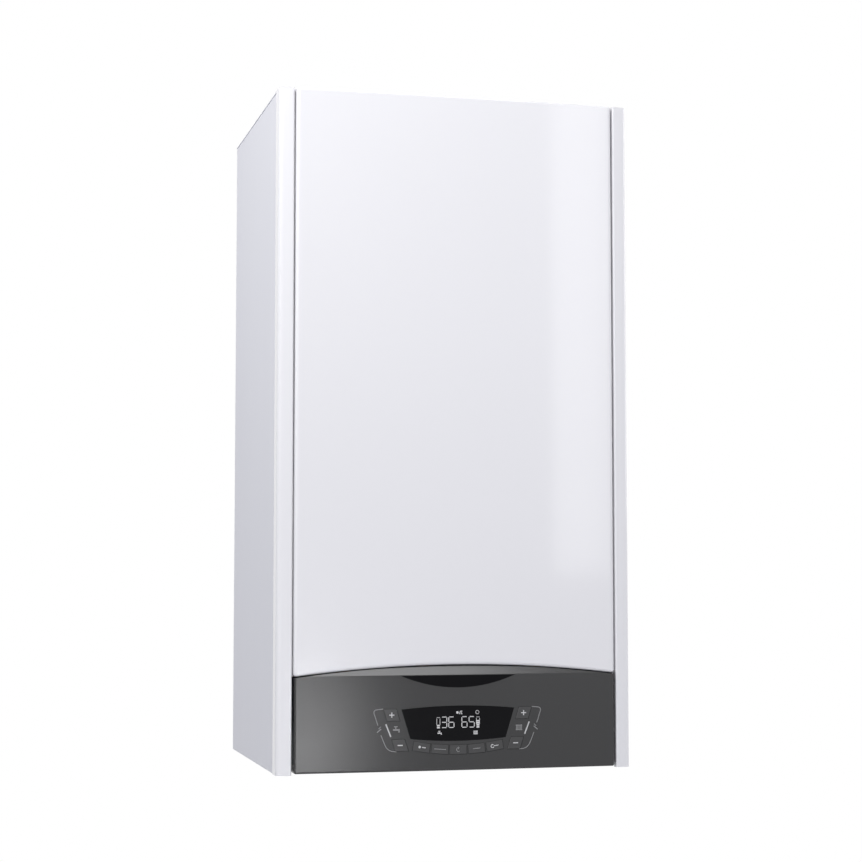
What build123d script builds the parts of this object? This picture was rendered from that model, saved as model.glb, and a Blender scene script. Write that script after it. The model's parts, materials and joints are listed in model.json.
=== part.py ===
from build123d import *

import os
from math import asin, degrees, sqrt

# Wall-hung condensing combi boiler, 400 x 745 x 319 mm.
#
# Frame: +Z up, the wall is the plane y = 0 and the front faces -Y. The origin is the middle of
# the two bolt holes of the wall bracket, on the wall. Heights in the values below are measured
# up from the casing's lower edge; z_at() turns such a height into a z of the frame.

os.makedirs("parts", exist_ok=True)

# Casing and chassis
case_width = 400.0
case_height = 745.0
case_depth = 319.0  # wall to the crown of the front
front_crown = 3.0  # the middle of the front stands this far proud of its edges
casing_depth = 27.0  # crown of the front to the casing's seam with the side panels
bolt_line_drop = 45.0  # wall bracket holes below the casing's top
sheet = 1.0  # casing and chassis steel
seam = 0.8  # open joint between the lift-off casing and the side panels
tray_depth = 14.0  # flanges of the side panels
bend_radius = 2.0
panel_step = 10.0  # depth of the grooves beside the front
panel_edge_radius = 5.0
lip_radius = 3.0
trim_width = 17.0
trim_wall = 1.4
trim_setback = 1.0  # trims lie this far behind the edge of the front
trim_fall = 2.5  # and fall back this much towards the outer corner
corner_radius = 6.0
groove = 1.5
cover_reach = 28.0  # top flange of the casing, from the grooves back over the chassis
hook_spacing = 240.0
hook_width = 30.0
hook_drop = 18.0
hook_gap = 1.0
leg_bottom = 8.0  # lower ends of the casing's hidden side legs
fit_gap = 0.3  # clearance between neighbouring pieces
snug_gap = 0.1  # clearance of screws and of pieces held without play
glue_gap = 0.15  # round the glued window and badge plate

# Back frame and wall bracket
back_sheet = 1.2
recess_width = 320.0
recess_height = 62.0
recess_depth = 14.0
recess_corner = 8.0
press_draft = 4  # degrees, of what is pressed into the back frame
bracket_length = 300.0
bracket_height = 40.0
bracket_wall = 2.5
bracket_corner = 3.0
bolt_spacing = 200.0
bolt_hole_radius = 4.5
hanger_spacing = 256.0
hanger_width = 28.0
hanger_reach = 4.0  # in front of the recess's floor
hanger_lip = 12.0
hanger_slot = 16.0
hanger_side_gap = 1.0
bead_inset = 25.0  # stiffening beads in from the sides of the frame
bead_width = 20.0
bead_depth = 5.0
bead_low = 60.0
bead_end_gap = 20.0  # from the recess down to the beads
rear_lip = 8.0
notch_height = 24.0

# Brackets of the control panel's hinge and the casing's screws
bracket_sheet = 1.5
bracket_foot = 2.5
bracket_tall = 46.0
cheek_rear = 12.0  # of the hinge cheeks, behind the pin's axis
cheek_front = 7.0
shelf_reach = 16.0  # of the screw shelf behind the chassis's front
pin_length = 10.0
tab_gap = 1.5
screw_radius = 2.5
screw_head_radius = 4.5
screw_head_height = 2.6
tab_screw_length = 7.0

# Control panel
fascia_edge_height = 103.2
fascia_rise = 11.6  # the middle of its arched top above its ends
fascia_bottom = 1.5
fascia_wall = 2.5
fascia_depth = 22.0
fascia_setback = 0.4  # behind the front panel's face
fascia_side_gap = 2.0
arc_gap = 1.2
bevel_line = 105.0  # foot of the bright bevel under the arched top
bevel_slope = 0.42
hinge_inset = 66.0  # hinge axis behind the chassis's front
hinge_height = 14.0
hinge_pin_radius = 3.0
hinge_clearance = 0.06
ear_radius = 7.0
ear_wall = 8.0
box_margin = 18.5  # control box in from the ends of the fascia
box_inset = 57.0  # control box's rear behind the chassis's front
box_bottom = 6.0
box_top = 98.0
box_wall = 2.2
box_corner = 6.0
rim_set_in = 3.4  # the control box's rim inside the fascia's rear edge
rim_gap = 0.5
entry_width = 44.0  # cable entry in the control box's rear
entry_height = 16.0
entry_x = 100.0
entry_middle = 72.0
boss_radius = 4.0
boss_inset = 9.0  # bosses in from the control box's upper and lower edges
boss_offset = 8.0  # and outside its ends
post_radius = 3.0
post_x = 93.0
post_low = 20.0
post_high = 72.0
board_wall = 1.6
board_edge = 5.0  # display board beyond its posts
board_corner = 3.0
board_drop = 9.0  # display board in front of the control box's rim
main_board_side = 17.0  # main board in from the control box's ends
main_board_edge = 8.0
main_post_x = 25.0
main_post_z = 14.0
main_post = 24.0

# Display, badge plate and keys: (x, height) of corners, and how far the long edges bow
window_top = (63.5, 68.2)
window_foot = (53.6, 36.2)
window_bow = (3.3, 2.8)
badge_half = 64.7
badge_drop = 13.4
badge_wall = 1.2
key_gap = 0.3
key_proud = 0.3
key_travel = 0.8
key_flange = 1.2
key_flange_gap = 0.5
key_stem_radius = 2.0
key_stem_gap = 0.1
plus_key = (74.3, 62.4)
minus_key = (65.0, 29.8)
side_key_width = 14.5
side_key_height = 13.0
row_pitch = 20.6
row_height = 24.0
row_radius = 260.0  # the five lower keys lie on an arc below the display
row_key_width = 19.0
row_key_height = 10.0
switch_height = 3.5
switch_width = 6.0

# Sealed chamber, heat cell and flue
chamber_bottom = 306.0
chamber_headroom = 10.0  # chamber below the casing's top
chamber_rear = 92.0
chamber_inset = 19.0  # chamber's cover behind the chassis's front
chamber_side_gap = 1.0
lid_lap = 8.0
lid_field_edge = 25.0
lid_field_depth = 5.0
lid_field_corner = 12.0
field_draft = 30  # degrees
cell_x = -60.0
cell_radius = 100.0
cell_headroom = 75.0  # above the cell, for the flue spigot
cell_front_gap = 5.0  # between the mixing duct and the chamber's cover
cell_wall = 2.0
coil_gap = 18.0  # from the cell's outside in to its tube bank
coil_wall = 10.0
coil_end_gap = 12.0
door_radius = 93.0
door_wall = 12.0
door_bolt_radius = 5.5
door_bolt_height = 5.0
door_hub = 10.0  # raised ring beyond the burner
burner_seat = 6.0
burner_radius = 34.0
burner_length = 95.0
electrode_radius = 5.0
electrode_spots = [(-50, -14), (-50, 14)]  # from the burner's axis
electrode_inner = 16.0
electrode_outer = 24.0
electrode_tip = 60.0
electrode_tip_radius = 1.5
pipe_stub_offset = 40.0
pipe_stub_radius = 11.0
pipe_stub_drop = 8.0  # stubs below the drum
stub_y = -165.0
drain_y = -130.0
flue_y = -125.0
flue_radius = 30.15  # socket of the 60 mm flue pipe
air_radius = 50.3  # socket of the 100 mm air pipe
pipe_wall = 1.5
collar_rise = 30.0
collar_gap = 2.0
flue_set_back = 4.0  # the flue socket's mouth below the air collar's
spoke_width = 4.0
stop_height = 3.0
spigot_rise = 30.0
spigot_gap = 8.0
flange_wall = 4.0
flange_radius = 70.0
flange_pitch_radius = 61.5
fan_side_gap = 5.0  # between the fan and the chamber's side
fan_drop = 90.0  # fan's axis below the cell's
fan_front_gap = 37.0  # for the motor, in front of the fan
fan_radius = 75.0
fan_depth = 50.0
fan_wall = 2.5
fan_wheel_radius = 58.0
fan_blades = 12
fan_blade_wall = 1.5
fan_blade_sweep = 22.0
fan_eye_radius = 34.0
fan_hub_radius = 10.0
fan_hub_length = 8.0
wheel_gap = 3.0  # between a wheel and its housing's end walls
fan_shaft_radius = 4.0
fan_shaft_length = 22.0
motor_flange_radius = 38.0
motor_flange_wall = 6.0
motor_can_radius = 30.0
motor_can_length = 16.0
motor_plug = (34.0, 18.0)
outlet_width = 38.0
outlet_offset = 43.0  # fan's outlet to the left of its axis
outlet_lip = 3.0
elbow_height = 44.0
duct_depth = 21.0
duct_radius = 6.0
venturi_length = 55.0
venturi_radius = 26.0
venturi_waist = 8.0  # throat inside the outlet, and bell mouth outside it
venturi_bend = 30.0

# Expansion vessel
vessel_radius = 150.0
vessel_depth = 82.0
vessel_headroom = 19.0  # below the wall bracket's recess
vessel_wall = 1.5
vessel_seam = (3.0, 8.0)
vent_radius = 4.0
vent_boss = (4.0, 6.0)

# Hydraulics, under the sealed chamber
plate_height = 35.0
plate_wall = 1.2
plate_gap = 30.0  # between the bottom plate and the control box
plate_end_height = 16.0
plate_lip = 12.0
pass_gap = 1.5  # round what passes through a plate
pipe_row_inset = 65.0  # pipe connections behind the bottom plate's front edge
flow_x = -132.0
hot_x = -65.0
cold_x = 65.0
return_x = 132.0
block_bottom = 44.0
manifold_height = 75.0
manifold_radius = 20.0
manifold_end = 3.0  # closed ends beyond the outer bosses
port_radius = 13.0
port_reach = 17.0
boss_wall = 4.0
heating_thread_radius = 13.2  # G 3/4
water_thread_radius = 10.5  # G 1/2
nipple_bottom = 3.0
nipple_wall = 3.0
hexagon_drop = 11.0  # from the bottom plate down to the foot of the hexagons
hexagon_height = 8.0
nut_length = 9.0
exchanger_length = 190.0
exchanger_height = 75.0
exchanger_depth = 45.0
exchanger_port_x = 80.0
exchanger_rise = 5.0
exchanger_corner = 16.0
exchanger_edge = 8.0  # brazed rim of its plates
exchanger_end = 3.0
exchanger_port = 6.0
pump_height = 162.0
pump_radius = 48.0
pump_depth = 40.0
pump_wall = 7.0
pump_wheel_radius = 38.0
pump_blades = 6
pump_blade_wall = 2.0
pump_blade_sweep = 16.0
pump_eye_radius = 19.0
pump_port_radius = 17.0
pump_outlet_offset = 30.0
pump_outlet_rise = 14.0
pump_vent_offset = 28.0
pump_flange_wall = 6.0
pump_shaft_length = 30.0
motor_corner = 8.0
motor_bevel = 4.0
plug_radius = 9.0  # bleed screw in the middle of the motor
air_vent_radius = 15.0
air_vent_height = 44.0
air_cap_radius = 6.0
air_cap_height = 7.0
terminal_box = (52.0, 22.0)
terminal_inset = 8.0
motor_radius = 41.0
motor_length = 58.0
shaft_radius = 5.0
shaft_clearance = 0.05
diverter_top = 118.0
diverter_bottom = 61.0
diverter_bore = 12.0
diverter_wall = 7.0
diverter_travel = 8.0
diverter_flange = 8.0
diverter_case = (42.0, 46.0)
diverter_case_height = 46.0
stem_radius = 3.0
stem_entry = 26.0  # of the stem into the motor
seal_gap = 0.4
seal_height = 5.0
seal_pitch = 20.0
flow_boss_x = -95.0
flow_boss_top = 112.0
flow_rise = 80.0
gas_inlet_rise = 72.0
gas_inlet_end = 44.0
gas_tube_rise = 28.0  # into the chamber before it turns to the fan
pipe_dip = 34.0  # of the crossing pipes below the chamber
pipe_fall = 6.0  # along a crossing
valve_y = -206.0
valve_bottom = 215.0
valve_height = 75.0
valve_width = 70.0
valve_depth = 58.0
valve_neck = 12.0
solenoid_rise = 6.0
solenoid_pitch = 32.0
solenoid_radius = 13.0
solenoid_length = 22.0
test_point_drop = 20.0
test_point_pitch = 22.0
test_point_radius = 4.0
test_point_length = 9.0
gas_pipe_radius = 9.0
gas_tube_radius = 7.0
water_pipe_radius = 9.0
trap_side_gap = 11.0
trap_y = -62.0
trap_radius = 24.0
trap_top = 205.0
trap_collar_height = 44.0
trap_loop = 56.0  # of the hose above the trap
trap_collar = (3.0, 8.0)  # how far it stands out, and its height
drain_bottom = 8.0
hose_radius = 9.0
relief_x = -98.0
relief_length = 30.0
relief_port_rise = 5.0
relief_body_radius = 11.0
relief_stem = 12.0
relief_drop = 14.0  # its outlet below the bottom plate
knob_radius = 13.0
flute_count = 6
flute_depth = 2.0
filling_x = 98.0
filling_offset = 2.0
filling_stem_radius = 4.0
filling_drop = 6.0
filling_knob_length = 18.0
filling_entry = 16.0
relief_pipe_radius = 7.5
relief_reach = 22.0  # outlet of the safety valve in front of its manifold

# Values worked out from those above
bolt_line_height = case_height - bolt_line_drop
case_bottom = -bolt_line_height


def z_at(height):
    return case_bottom + height


half_width = case_width / 2
front_y = -case_depth
panel_half = half_width - trim_width - groove
panel_edge_y = front_y + front_crown
crown_radius = (panel_half**2 + front_crown**2) / (2 * front_crown)
flange_y = panel_edge_y + panel_step
trim_inner = half_width - trim_width
trim_front = panel_edge_y + trim_setback
chassis_depth = case_depth - casing_depth
chassis_front = -chassis_depth
trim_back = chassis_front - seam
leg_outer = half_width - trim_wall - snug_gap
skin_inner = half_width - sheet
chassis_height = case_height - sheet
fascia_half = panel_half - 1.0
fascia_front = front_y + fascia_setback
fascia_back = panel_edge_y + fascia_setback + fascia_depth
leg_inner = fascia_half + fascia_side_gap
hinge_y = chassis_front + hinge_inset
box_half = fascia_half - box_margin
box_rear = chassis_depth - box_inset
arc_radius = (fascia_half**2 + fascia_rise**2) / (2 * fascia_rise)
arc_centre = z_at(fascia_edge_height + fascia_rise - arc_radius)
chamber_half = half_width - tray_depth - chamber_side_gap
chamber_top = case_height - chamber_headroom
chamber_front = chassis_depth - chamber_inset
cell_height = chamber_top - cell_headroom - cell_radius
cell_rear = chamber_rear + sheet
cell_front = chamber_front - cell_front_gap - duct_depth - door_wall
cell_length = cell_front - cell_rear
door_front = cell_front + door_wall
stub_bottom = cell_height - cell_radius - pipe_stub_drop
spigot_top = cell_height + cell_radius + spigot_rise
fan_x = chamber_half - fan_side_gap - fan_radius
fan_height = cell_height - fan_drop
fan_front = chamber_front - fan_front_gap
fan_rear = fan_front - fan_depth
venturi_foot = fan_height - venturi_radius - venturi_waist
venturi_middle = -fan_rear + venturi_length / 2
outlet_x = fan_x - outlet_offset
outlet_top = cell_height
vessel_height = bolt_line_height - recess_height / 2 - vessel_headroom - vessel_radius
trap_x = trap_radius + trap_side_gap - skin_inner
plate_top = plate_height + plate_wall
plate_front = box_rear - plate_gap
pipe_row_y = pipe_row_inset - plate_front
exchanger_front = pipe_row_y + manifold_radius + port_reach
blank = 400.0  # longer than anything that it cuts or meets across the boiler


def facing(y, x=0, height=bolt_line_height):
    """Upright plane seen from the front: x to the right, z up, extruding towards the viewer."""
    return Plane((x, y, z_at(height)), x_dir=(1, 0, 0), z_dir=(0, -1, 0))


def level(height, x=0, y=0):
    """Horizontal plane at a height above the casing's lower edge."""
    return Plane((x, y, z_at(height)))


def crown_y(front, x):
    """y of a crowned face at x, when its middle lies at front."""
    return front + crown_radius - sqrt(crown_radius**2 - x**2)


def crowned_section(front, back, half):
    """Plan section between the crowned face through front and the flat one through back."""
    edge = crown_y(front, half)
    with BuildLine() as outline:
        ThreePointArc((-half, edge), (0, front), (half, edge))
        Polyline((half, edge), (half, back), (-half, back), (-half, edge))
    make_face(outline.line)


def trim_path():
    """Plan of the right trim's outer face, from its foot in the groove round to its outer leg."""
    return FilletPolyline(
        (trim_inner, flange_y),
        (trim_inner, trim_front),
        (half_width, trim_front + trim_fall),
        (half_width, trim_back),
        radius=[trim_wall + 0.6, corner_radius],
    )


# ---------------------------------------------------------------- lift-off casing

with BuildPart() as front_panel:
    with BuildSketch(level(fascia_edge_height)):
        crowned_section(front_y, flange_y + sheet, panel_half)
    extrude(amount=case_height - fascia_edge_height)
    with BuildSketch(facing(0)):
        with Locations((0, arc_centre)):
            Circle(arc_radius + arc_gap)
    extrude(amount=2 * case_depth, mode=Mode.SUBTRACT)
    skin = front_panel.faces().sort_by(Axis.Y)[0]
    fillet(skin.edges().filter_by(Axis.Z), panel_edge_radius)
    skin = front_panel.faces().sort_by(Axis.Y)[0]
    fillet(skin.edges().sort_by(Axis.Z)[0], lip_radius)
    skin = front_panel.faces().sort_by(Axis.Y)[0]
    fillet(skin.edges().sort_by(Axis.Z)[-1], bend_radius)
    offset(amount=-sheet, openings=front_panel.faces().sort_by(Axis.Y)[-1])
    # the folded legs behind the trims
    with BuildSketch(level(leg_bottom)):
        with BuildLine():
            Polyline((panel_half - sheet, flange_y), (leg_outer, flange_y), (leg_outer, trim_back))
            offset(amount=sheet, side=Side.LEFT)
        make_face()
        mirror(about=Plane.YZ)
    extrude(amount=case_height - sheet - leg_bottom)
    with BuildSketch(level(0)):
        with Locations((0, flange_y)):
            Rectangle(2 * leg_inner, 2 * panel_step)
    extrude(amount=fascia_edge_height + arc_gap, mode=Mode.SUBTRACT)
    # top flange over the trims and onto the chassis
    with BuildSketch(level(case_height - sheet)):
        with BuildLine():
            rim = trim_path()
            Polyline(rim @ 1, (trim_inner, trim_back), (trim_inner, flange_y))
        make_face()
        mirror(about=Plane.YZ)
        with Locations((0, flange_y)):
            Rectangle(case_width, cover_reach, align=(Align.CENTER, Align.MIN))
    extrude(amount=sheet)
    # hooks behind the chassis's front rail
    with BuildSketch(level(case_height - sheet)):
        with Locations((0, chassis_front + sheet + fit_gap)):
            with GridLocations(hook_spacing, 0, 2, 1):
                Rectangle(hook_width, sheet, align=(Align.CENTER, Align.MIN))
    extrude(amount=-hook_drop)
    # screw tabs at the feet of the legs
    tab_inner = leg_inner + tab_gap
    tab_x = (tab_inner + leg_outer) / 2
    tab_y = (flange_y + trim_back) / 2
    with BuildSketch(level(leg_bottom)):
        with Locations((tab_x, tab_y), (-tab_x, tab_y)):
            Rectangle(leg_outer - tab_inner, trim_back - flange_y)
            Circle(screw_radius + fit_gap, mode=Mode.SUBTRACT)
    extrude(amount=sheet)
front_panel.part.label = "front_panel"
export_step(front_panel.part, "parts/front_panel.step")

with BuildPart() as right_trim:
    with BuildSketch(level(0)):
        with BuildLine():
            trim_path()
            offset(amount=trim_wall, side=Side.LEFT)
        make_face()
    extrude(amount=case_height - sheet)
right_trim.part.label = "right_trim"
export_step(right_trim.part, "parts/right_trim.step")

with BuildPart() as left_trim:
    mirror(right_trim.part, about=Plane.YZ)
left_trim.part.label = "left_trim"
export_step(left_trim.part, "parts/left_trim.step")

# ---------------------------------------------------------------- chassis

bracket_high = bracket_height / 2
hanger_front = -recess_depth - back_sheet - hanger_reach
with BuildPart() as wall_bracket:
    with BuildSketch(facing(0)):
        RectangleRounded(bracket_length, bracket_height, bracket_corner)
        with GridLocations(bolt_spacing, 0, 2, 1):
            Circle(bolt_hole_radius, mode=Mode.SUBTRACT)
    extrude(amount=bracket_wall)
    # two hangers, bent forward from the top edge and then up
    for x in (-hanger_spacing / 2, hanger_spacing / 2):
        with BuildSketch(Plane.YZ.offset(x)):
            with BuildLine():
                Polyline(
                    (0, bracket_high),
                    (hanger_front, bracket_high),
                    (hanger_front, bracket_high + hanger_lip),
                )
                offset(amount=bracket_wall, side=Side.LEFT)
            make_face()
        extrude(amount=hanger_width / 2, both=True)
wall_bracket.part.label = "wall_bracket"
export_step(wall_bracket.part, "parts/wall_bracket.step")

with BuildPart() as back_frame:
    frame_top = case_height - 2 * sheet
    bead_x = skin_inner - bead_inset
    bead_high = bolt_line_height - recess_height / 2 - bead_end_gap
    with BuildSketch(facing(0)):
        with Locations((0, z_at(sheet))):
            Rectangle(2 * (skin_inner - snug_gap), frame_top - sheet, align=(Align.CENTER, Align.MIN))
    extrude(amount=back_sheet)
    # pressed recess for the wall bracket, and two stiffening beads
    with BuildSketch(facing(0)):
        RectangleRounded(recess_width, recess_height, recess_corner)
    extrude(amount=recess_depth, taper=press_draft)
    with BuildSketch(facing(0)):
        RectangleRounded(
            recess_width - 2 * back_sheet,
            recess_height - 2 * back_sheet,
            recess_corner - back_sheet,
        )
    extrude(amount=recess_depth - back_sheet, taper=press_draft, mode=Mode.SUBTRACT)
    bead_centre = (z_at(bead_low) + z_at(bead_high)) / 2
    with BuildSketch(facing(0)):
        with Locations((-bead_x, bead_centre), (bead_x, bead_centre)):
            SlotOverall(bead_high - bead_low, bead_width, rotation=90)
    extrude(amount=bead_depth)
    with BuildSketch(facing(0)):
        with Locations((-bead_x, bead_centre), (bead_x, bead_centre)):
            SlotOverall(bead_high - bead_low - 2 * back_sheet, bead_width - 2 * back_sheet, rotation=90)
    extrude(amount=bead_depth - back_sheet, mode=Mode.SUBTRACT)
    # slots whose upper edges sit on the bracket's hangers
    with BuildSketch(facing(0)):
        with Locations((0, bracket_high)):
            with GridLocations(hanger_spacing, 0, 2, 1):
                Rectangle(hanger_width + 2 * hanger_side_gap, hanger_slot, align=(Align.CENTER, Align.MAX))
    extrude(amount=recess_depth + back_sheet, mode=Mode.SUBTRACT)
back_frame.part.label = "back_frame"
export_step(back_frame.part, "parts/back_frame.step")

with BuildPart() as right_side_panel:
    side_height = case_height - 2 * sheet
    with BuildSketch(Plane.YZ.offset(half_width - tray_depth)):
        with Locations((chassis_front, z_at(0))):
            Rectangle(chassis_depth - back_sheet, side_height, align=(Align.MIN, Align.MIN))
    extrude(amount=tray_depth)
    fillet(right_side_panel.faces().sort_by(Axis.X)[-1].edges(), bend_radius)
    offset(amount=-sheet, openings=right_side_panel.faces().sort_by(Axis.X)[0])
    # the front flange stops short of the bracket that carries the casing's screw
    with BuildSketch(level(sheet)):
        with Locations((skin_inner, chassis_front)):
            Rectangle(tray_depth, sheet, align=(Align.MAX, Align.MIN))
    extrude(amount=notch_height, mode=Mode.SUBTRACT)
right_side_panel.part.label = "right_side_panel"
export_step(right_side_panel.part, "parts/right_side_panel.step")

with BuildPart() as left_side_panel:
    mirror(right_side_panel.part, about=Plane.YZ)
left_side_panel.part.label = "left_side_panel"
export_step(left_side_panel.part, "parts/left_side_panel.step")

with BuildPart() as top_panel:
    lid_top = z_at(chassis_height)
    rail_width = 2 * (half_width - tray_depth - fit_gap)
    with BuildSketch(Plane.XY.offset(lid_top - sheet)):
        Rectangle(case_width, chassis_depth, align=(Align.CENTER, Align.MAX))
        with Locations((0, flue_y)):
            Circle(air_radius + pipe_wall + collar_gap, mode=Mode.SUBTRACT)
        with Locations((0, chassis_front + sheet)):
            with GridLocations(hook_spacing, 0, 2, 1):
                Rectangle(
                    hook_width + 2 * hook_gap,
                    2 * sheet + fit_gap,
                    align=(Align.CENTER, Align.MIN),
                    mode=Mode.SUBTRACT,
                )
    extrude(amount=sheet)
    with BuildSketch(Plane.XY.offset(lid_top - sheet)):
        with Locations((0, chassis_front)):
            Rectangle(rail_width, sheet, align=(Align.CENTER, Align.MIN))
    extrude(amount=-hook_drop - 2 * sheet)
    with BuildSketch(Plane.XY.offset(lid_top - sheet)):
        with Locations((0, -back_sheet)):
            Rectangle(rail_width, sheet, align=(Align.CENTER, Align.MAX))
    extrude(amount=-rear_lip)
top_panel.part.label = "top_panel"
export_step(top_panel.part, "parts/top_panel.step")

nipple_spots = [(flow_x, heating_thread_radius), (hot_x, water_thread_radius), (0, heating_thread_radius)]
nipple_spots += [(cold_x, water_thread_radius), (return_x, heating_thread_radius)]
filling_y = pipe_row_y - filling_offset
relief_y = pipe_row_y - manifold_radius - relief_reach
plate_rear = -back_sheet - sheet - bend_radius
plate_depth = plate_front + plate_rear
with BuildPart() as bottom_plate:
    with BuildSketch(level(plate_height)):
        with Locations((0, plate_rear)):
            Rectangle(2 * skin_inner, plate_depth, align=(Align.CENTER, Align.MAX))
        for x, thread in nipple_spots:
            with Locations((x, pipe_row_y)):
                Circle(thread + pass_gap, mode=Mode.SUBTRACT)
        with Locations((trap_x, trap_y)):
            Circle(hose_radius + pass_gap, mode=Mode.SUBTRACT)
        with Locations((filling_x, filling_y)):
            Circle(filling_stem_radius + pass_gap, mode=Mode.SUBTRACT)
        with Locations((relief_x, relief_y)):
            Circle(relief_pipe_radius + pass_gap, mode=Mode.SUBTRACT)
    extrude(amount=plate_wall)
    # turned-up ends, screwed to the side panels, and a turned-down front edge
    with BuildSketch(level(plate_height)):
        with Locations((0, plate_rear - plate_depth / 2)):
            Rectangle(2 * skin_inner, plate_depth)
            Rectangle(2 * (skin_inner - plate_wall), plate_depth, mode=Mode.SUBTRACT)
    extrude(amount=plate_end_height)
    with BuildSketch(level(plate_height)):
        with Locations((0, -plate_front)):
            Rectangle(2 * (half_width - tray_depth), plate_wall, align=(Align.CENTER, Align.MIN))
    extrude(amount=-plate_lip)
bottom_plate.part.label = "bottom_plate"
export_step(bottom_plate.part, "parts/bottom_plate.step")

# Two folded brackets carry the control panel's hinge pins and the casing's screws.
cheek_x = box_half + fit_gap
shelf_outer = leg_outer - fit_gap
with BuildPart() as hinge_brackets:
    with BuildSketch(level(bracket_foot)):
        with BuildLine():
            FilletPolyline(
                (skin_inner, chassis_front + shelf_reach / 2),
                (skin_inner, hinge_y + cheek_rear),
                (cheek_x, hinge_y + cheek_rear),
                (cheek_x, hinge_y - cheek_front),
                radius=bend_radius,
            )
            offset(amount=bracket_sheet, side=Side.LEFT)
        make_face()
    extrude(amount=bracket_tall)
    with BuildSketch(level(leg_bottom)):
        with Locations((shelf_outer, flange_y + sheet)):
            Rectangle(
                shelf_outer - tab_inner,
                chassis_front + shelf_reach - flange_y,
                align=(Align.MAX, Align.MIN),
            )
        with Locations((tab_x, tab_y)):
            Circle(screw_radius + snug_gap, mode=Mode.SUBTRACT)
    extrude(amount=-bracket_sheet)
    with BuildSketch(Plane.YZ.offset(cheek_x)):
        with Locations((hinge_y, z_at(hinge_height))):
            Circle(hinge_pin_radius)
    extrude(amount=-pin_length)
    mirror(about=Plane.YZ)
hinge_brackets.part.label = "hinge_brackets"
export_step(hinge_brackets.part, "parts/hinge_brackets.step")

# ---------------------------------------------------------------- flue outlet and screws

with BuildPart() as flue_outlet:
    flange_low = z_at(chassis_height)
    spigot_bottom = z_at(cell_height + cell_radius + spigot_gap)
    with BuildSketch(Plane.XY.offset(flange_low)):
        with Locations((0, flue_y)):
            Circle(flange_radius)
            Circle(air_radius, mode=Mode.SUBTRACT)
            with PolarLocations(flange_pitch_radius, 4, start_angle=45):
                Circle(screw_radius + snug_gap, mode=Mode.SUBTRACT)
            # spokes between the air collar and the flue pipe
            with PolarLocations((flue_radius + air_radius) / 2, 3, start_angle=90):
                Rectangle(air_radius - flue_radius, spoke_width)
    extrude(amount=flange_wall)
    with BuildSketch(Plane.XY.offset(flange_low)):
        with Locations((0, flue_y)):
            Circle(air_radius + pipe_wall)
            Circle(air_radius, mode=Mode.SUBTRACT)
    extrude(amount=collar_rise)
    with BuildSketch(Plane.XY.offset(spigot_bottom)):
        with Locations((0, flue_y)):
            Circle(flue_radius + pipe_wall)
            Circle(flue_radius, mode=Mode.SUBTRACT)
    extrude(amount=flange_low + collar_rise - flue_set_back - spigot_bottom)
    # stop between the heat cell's spigot below and the flue pipe above
    with BuildSketch(level(spigot_top + fit_gap)):
        with Locations((0, flue_y)):
            Circle(flue_radius + pipe_wall)
            Circle(flue_radius - pipe_wall, mode=Mode.SUBTRACT)
    extrude(amount=stop_height)
flue_outlet.part.label = "flue_outlet"
export_step(flue_outlet.part, "parts/flue_outlet.step")

with BuildPart() as case_screws:
    # two from below into the casing's tabs
    with BuildSketch(level(leg_bottom - bracket_sheet)):
        with Locations((tab_x, tab_y), (-tab_x, tab_y)):
            Circle(screw_head_radius)
    extrude(amount=-screw_head_height)
    with BuildSketch(level(leg_bottom - bracket_sheet)):
        with Locations((tab_x, tab_y), (-tab_x, tab_y)):
            Circle(screw_radius)
    extrude(amount=tab_screw_length)
    # four through the flue flange
    with BuildSketch(Plane.XY.offset(flange_low + flange_wall)):
        with Locations((0, flue_y)):
            with PolarLocations(flange_pitch_radius, 4, start_angle=45):
                Circle(screw_head_radius)
    extrude(amount=screw_head_height)
    with BuildSketch(Plane.XY.offset(flange_low + flange_wall)):
        with Locations((0, flue_y)):
            with PolarLocations(flange_pitch_radius, 4, start_angle=45):
                Circle(screw_radius)
    extrude(amount=-flange_wall)
case_screws.part.label = "case_screws"
export_step(case_screws.part, "parts/case_screws.step")

# ---------------------------------------------------------------- control panel

window_lean = (window_top[0] - window_foot[0]) / (window_top[1] - window_foot[1])
rim_y = fascia_back - rim_set_in
board_front = rim_y - board_drop
switch_front = board_front - switch_height
badge_floor = fascia_front + badge_wall + glue_gap


def window_outline(shrink):
    """Display outline: narrower at the foot, with both long edges bowed outwards."""
    top_x, top_z = window_top[0], z_at(window_top[1])
    foot_x, foot_z = window_foot[0], z_at(window_foot[1])
    with BuildLine() as outline:
        ThreePointArc((-top_x, top_z), (0, top_z + window_bow[0]), (top_x, top_z))
        Line((top_x, top_z), (foot_x, foot_z))
        ThreePointArc((foot_x, foot_z), (0, foot_z - window_bow[1]), (-foot_x, foot_z))
        Line((-foot_x, foot_z), (-top_x, top_z))
    make_face(outline.line)
    if shrink:
        offset(amount=-shrink, kind=Kind.INTERSECTION)


def badge_outline(shrink):
    """Lens-shaped plate hanging from the foot of the bevel."""
    top_z = z_at(bevel_line) - 2 * fit_gap
    with BuildLine() as outline:
        Line((-badge_half, top_z), (badge_half, top_z))
        ThreePointArc((badge_half, top_z), (0, top_z - badge_drop), (-badge_half, top_z))
    make_face(outline.line)
    if shrink:
        offset(amount=-shrink, kind=Kind.INTERSECTION)


def key_outline(key, sideways, upright):
    """Outline of a key's cap, grown sideways and upright for its opening or its flange."""
    x, height, tilt, lean, width, tall = key
    half, rise = width / 2 + sideways, tall / 2 + upright
    with Locations(Location((x, z_at(height)), tilt)):
        Polygon(
            (lean * rise - half, rise),
            (-lean * rise - half, -rise),
            (-lean * rise + half, -rise),
            (lean * rise + half, rise),
            align=None,
        )


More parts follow.
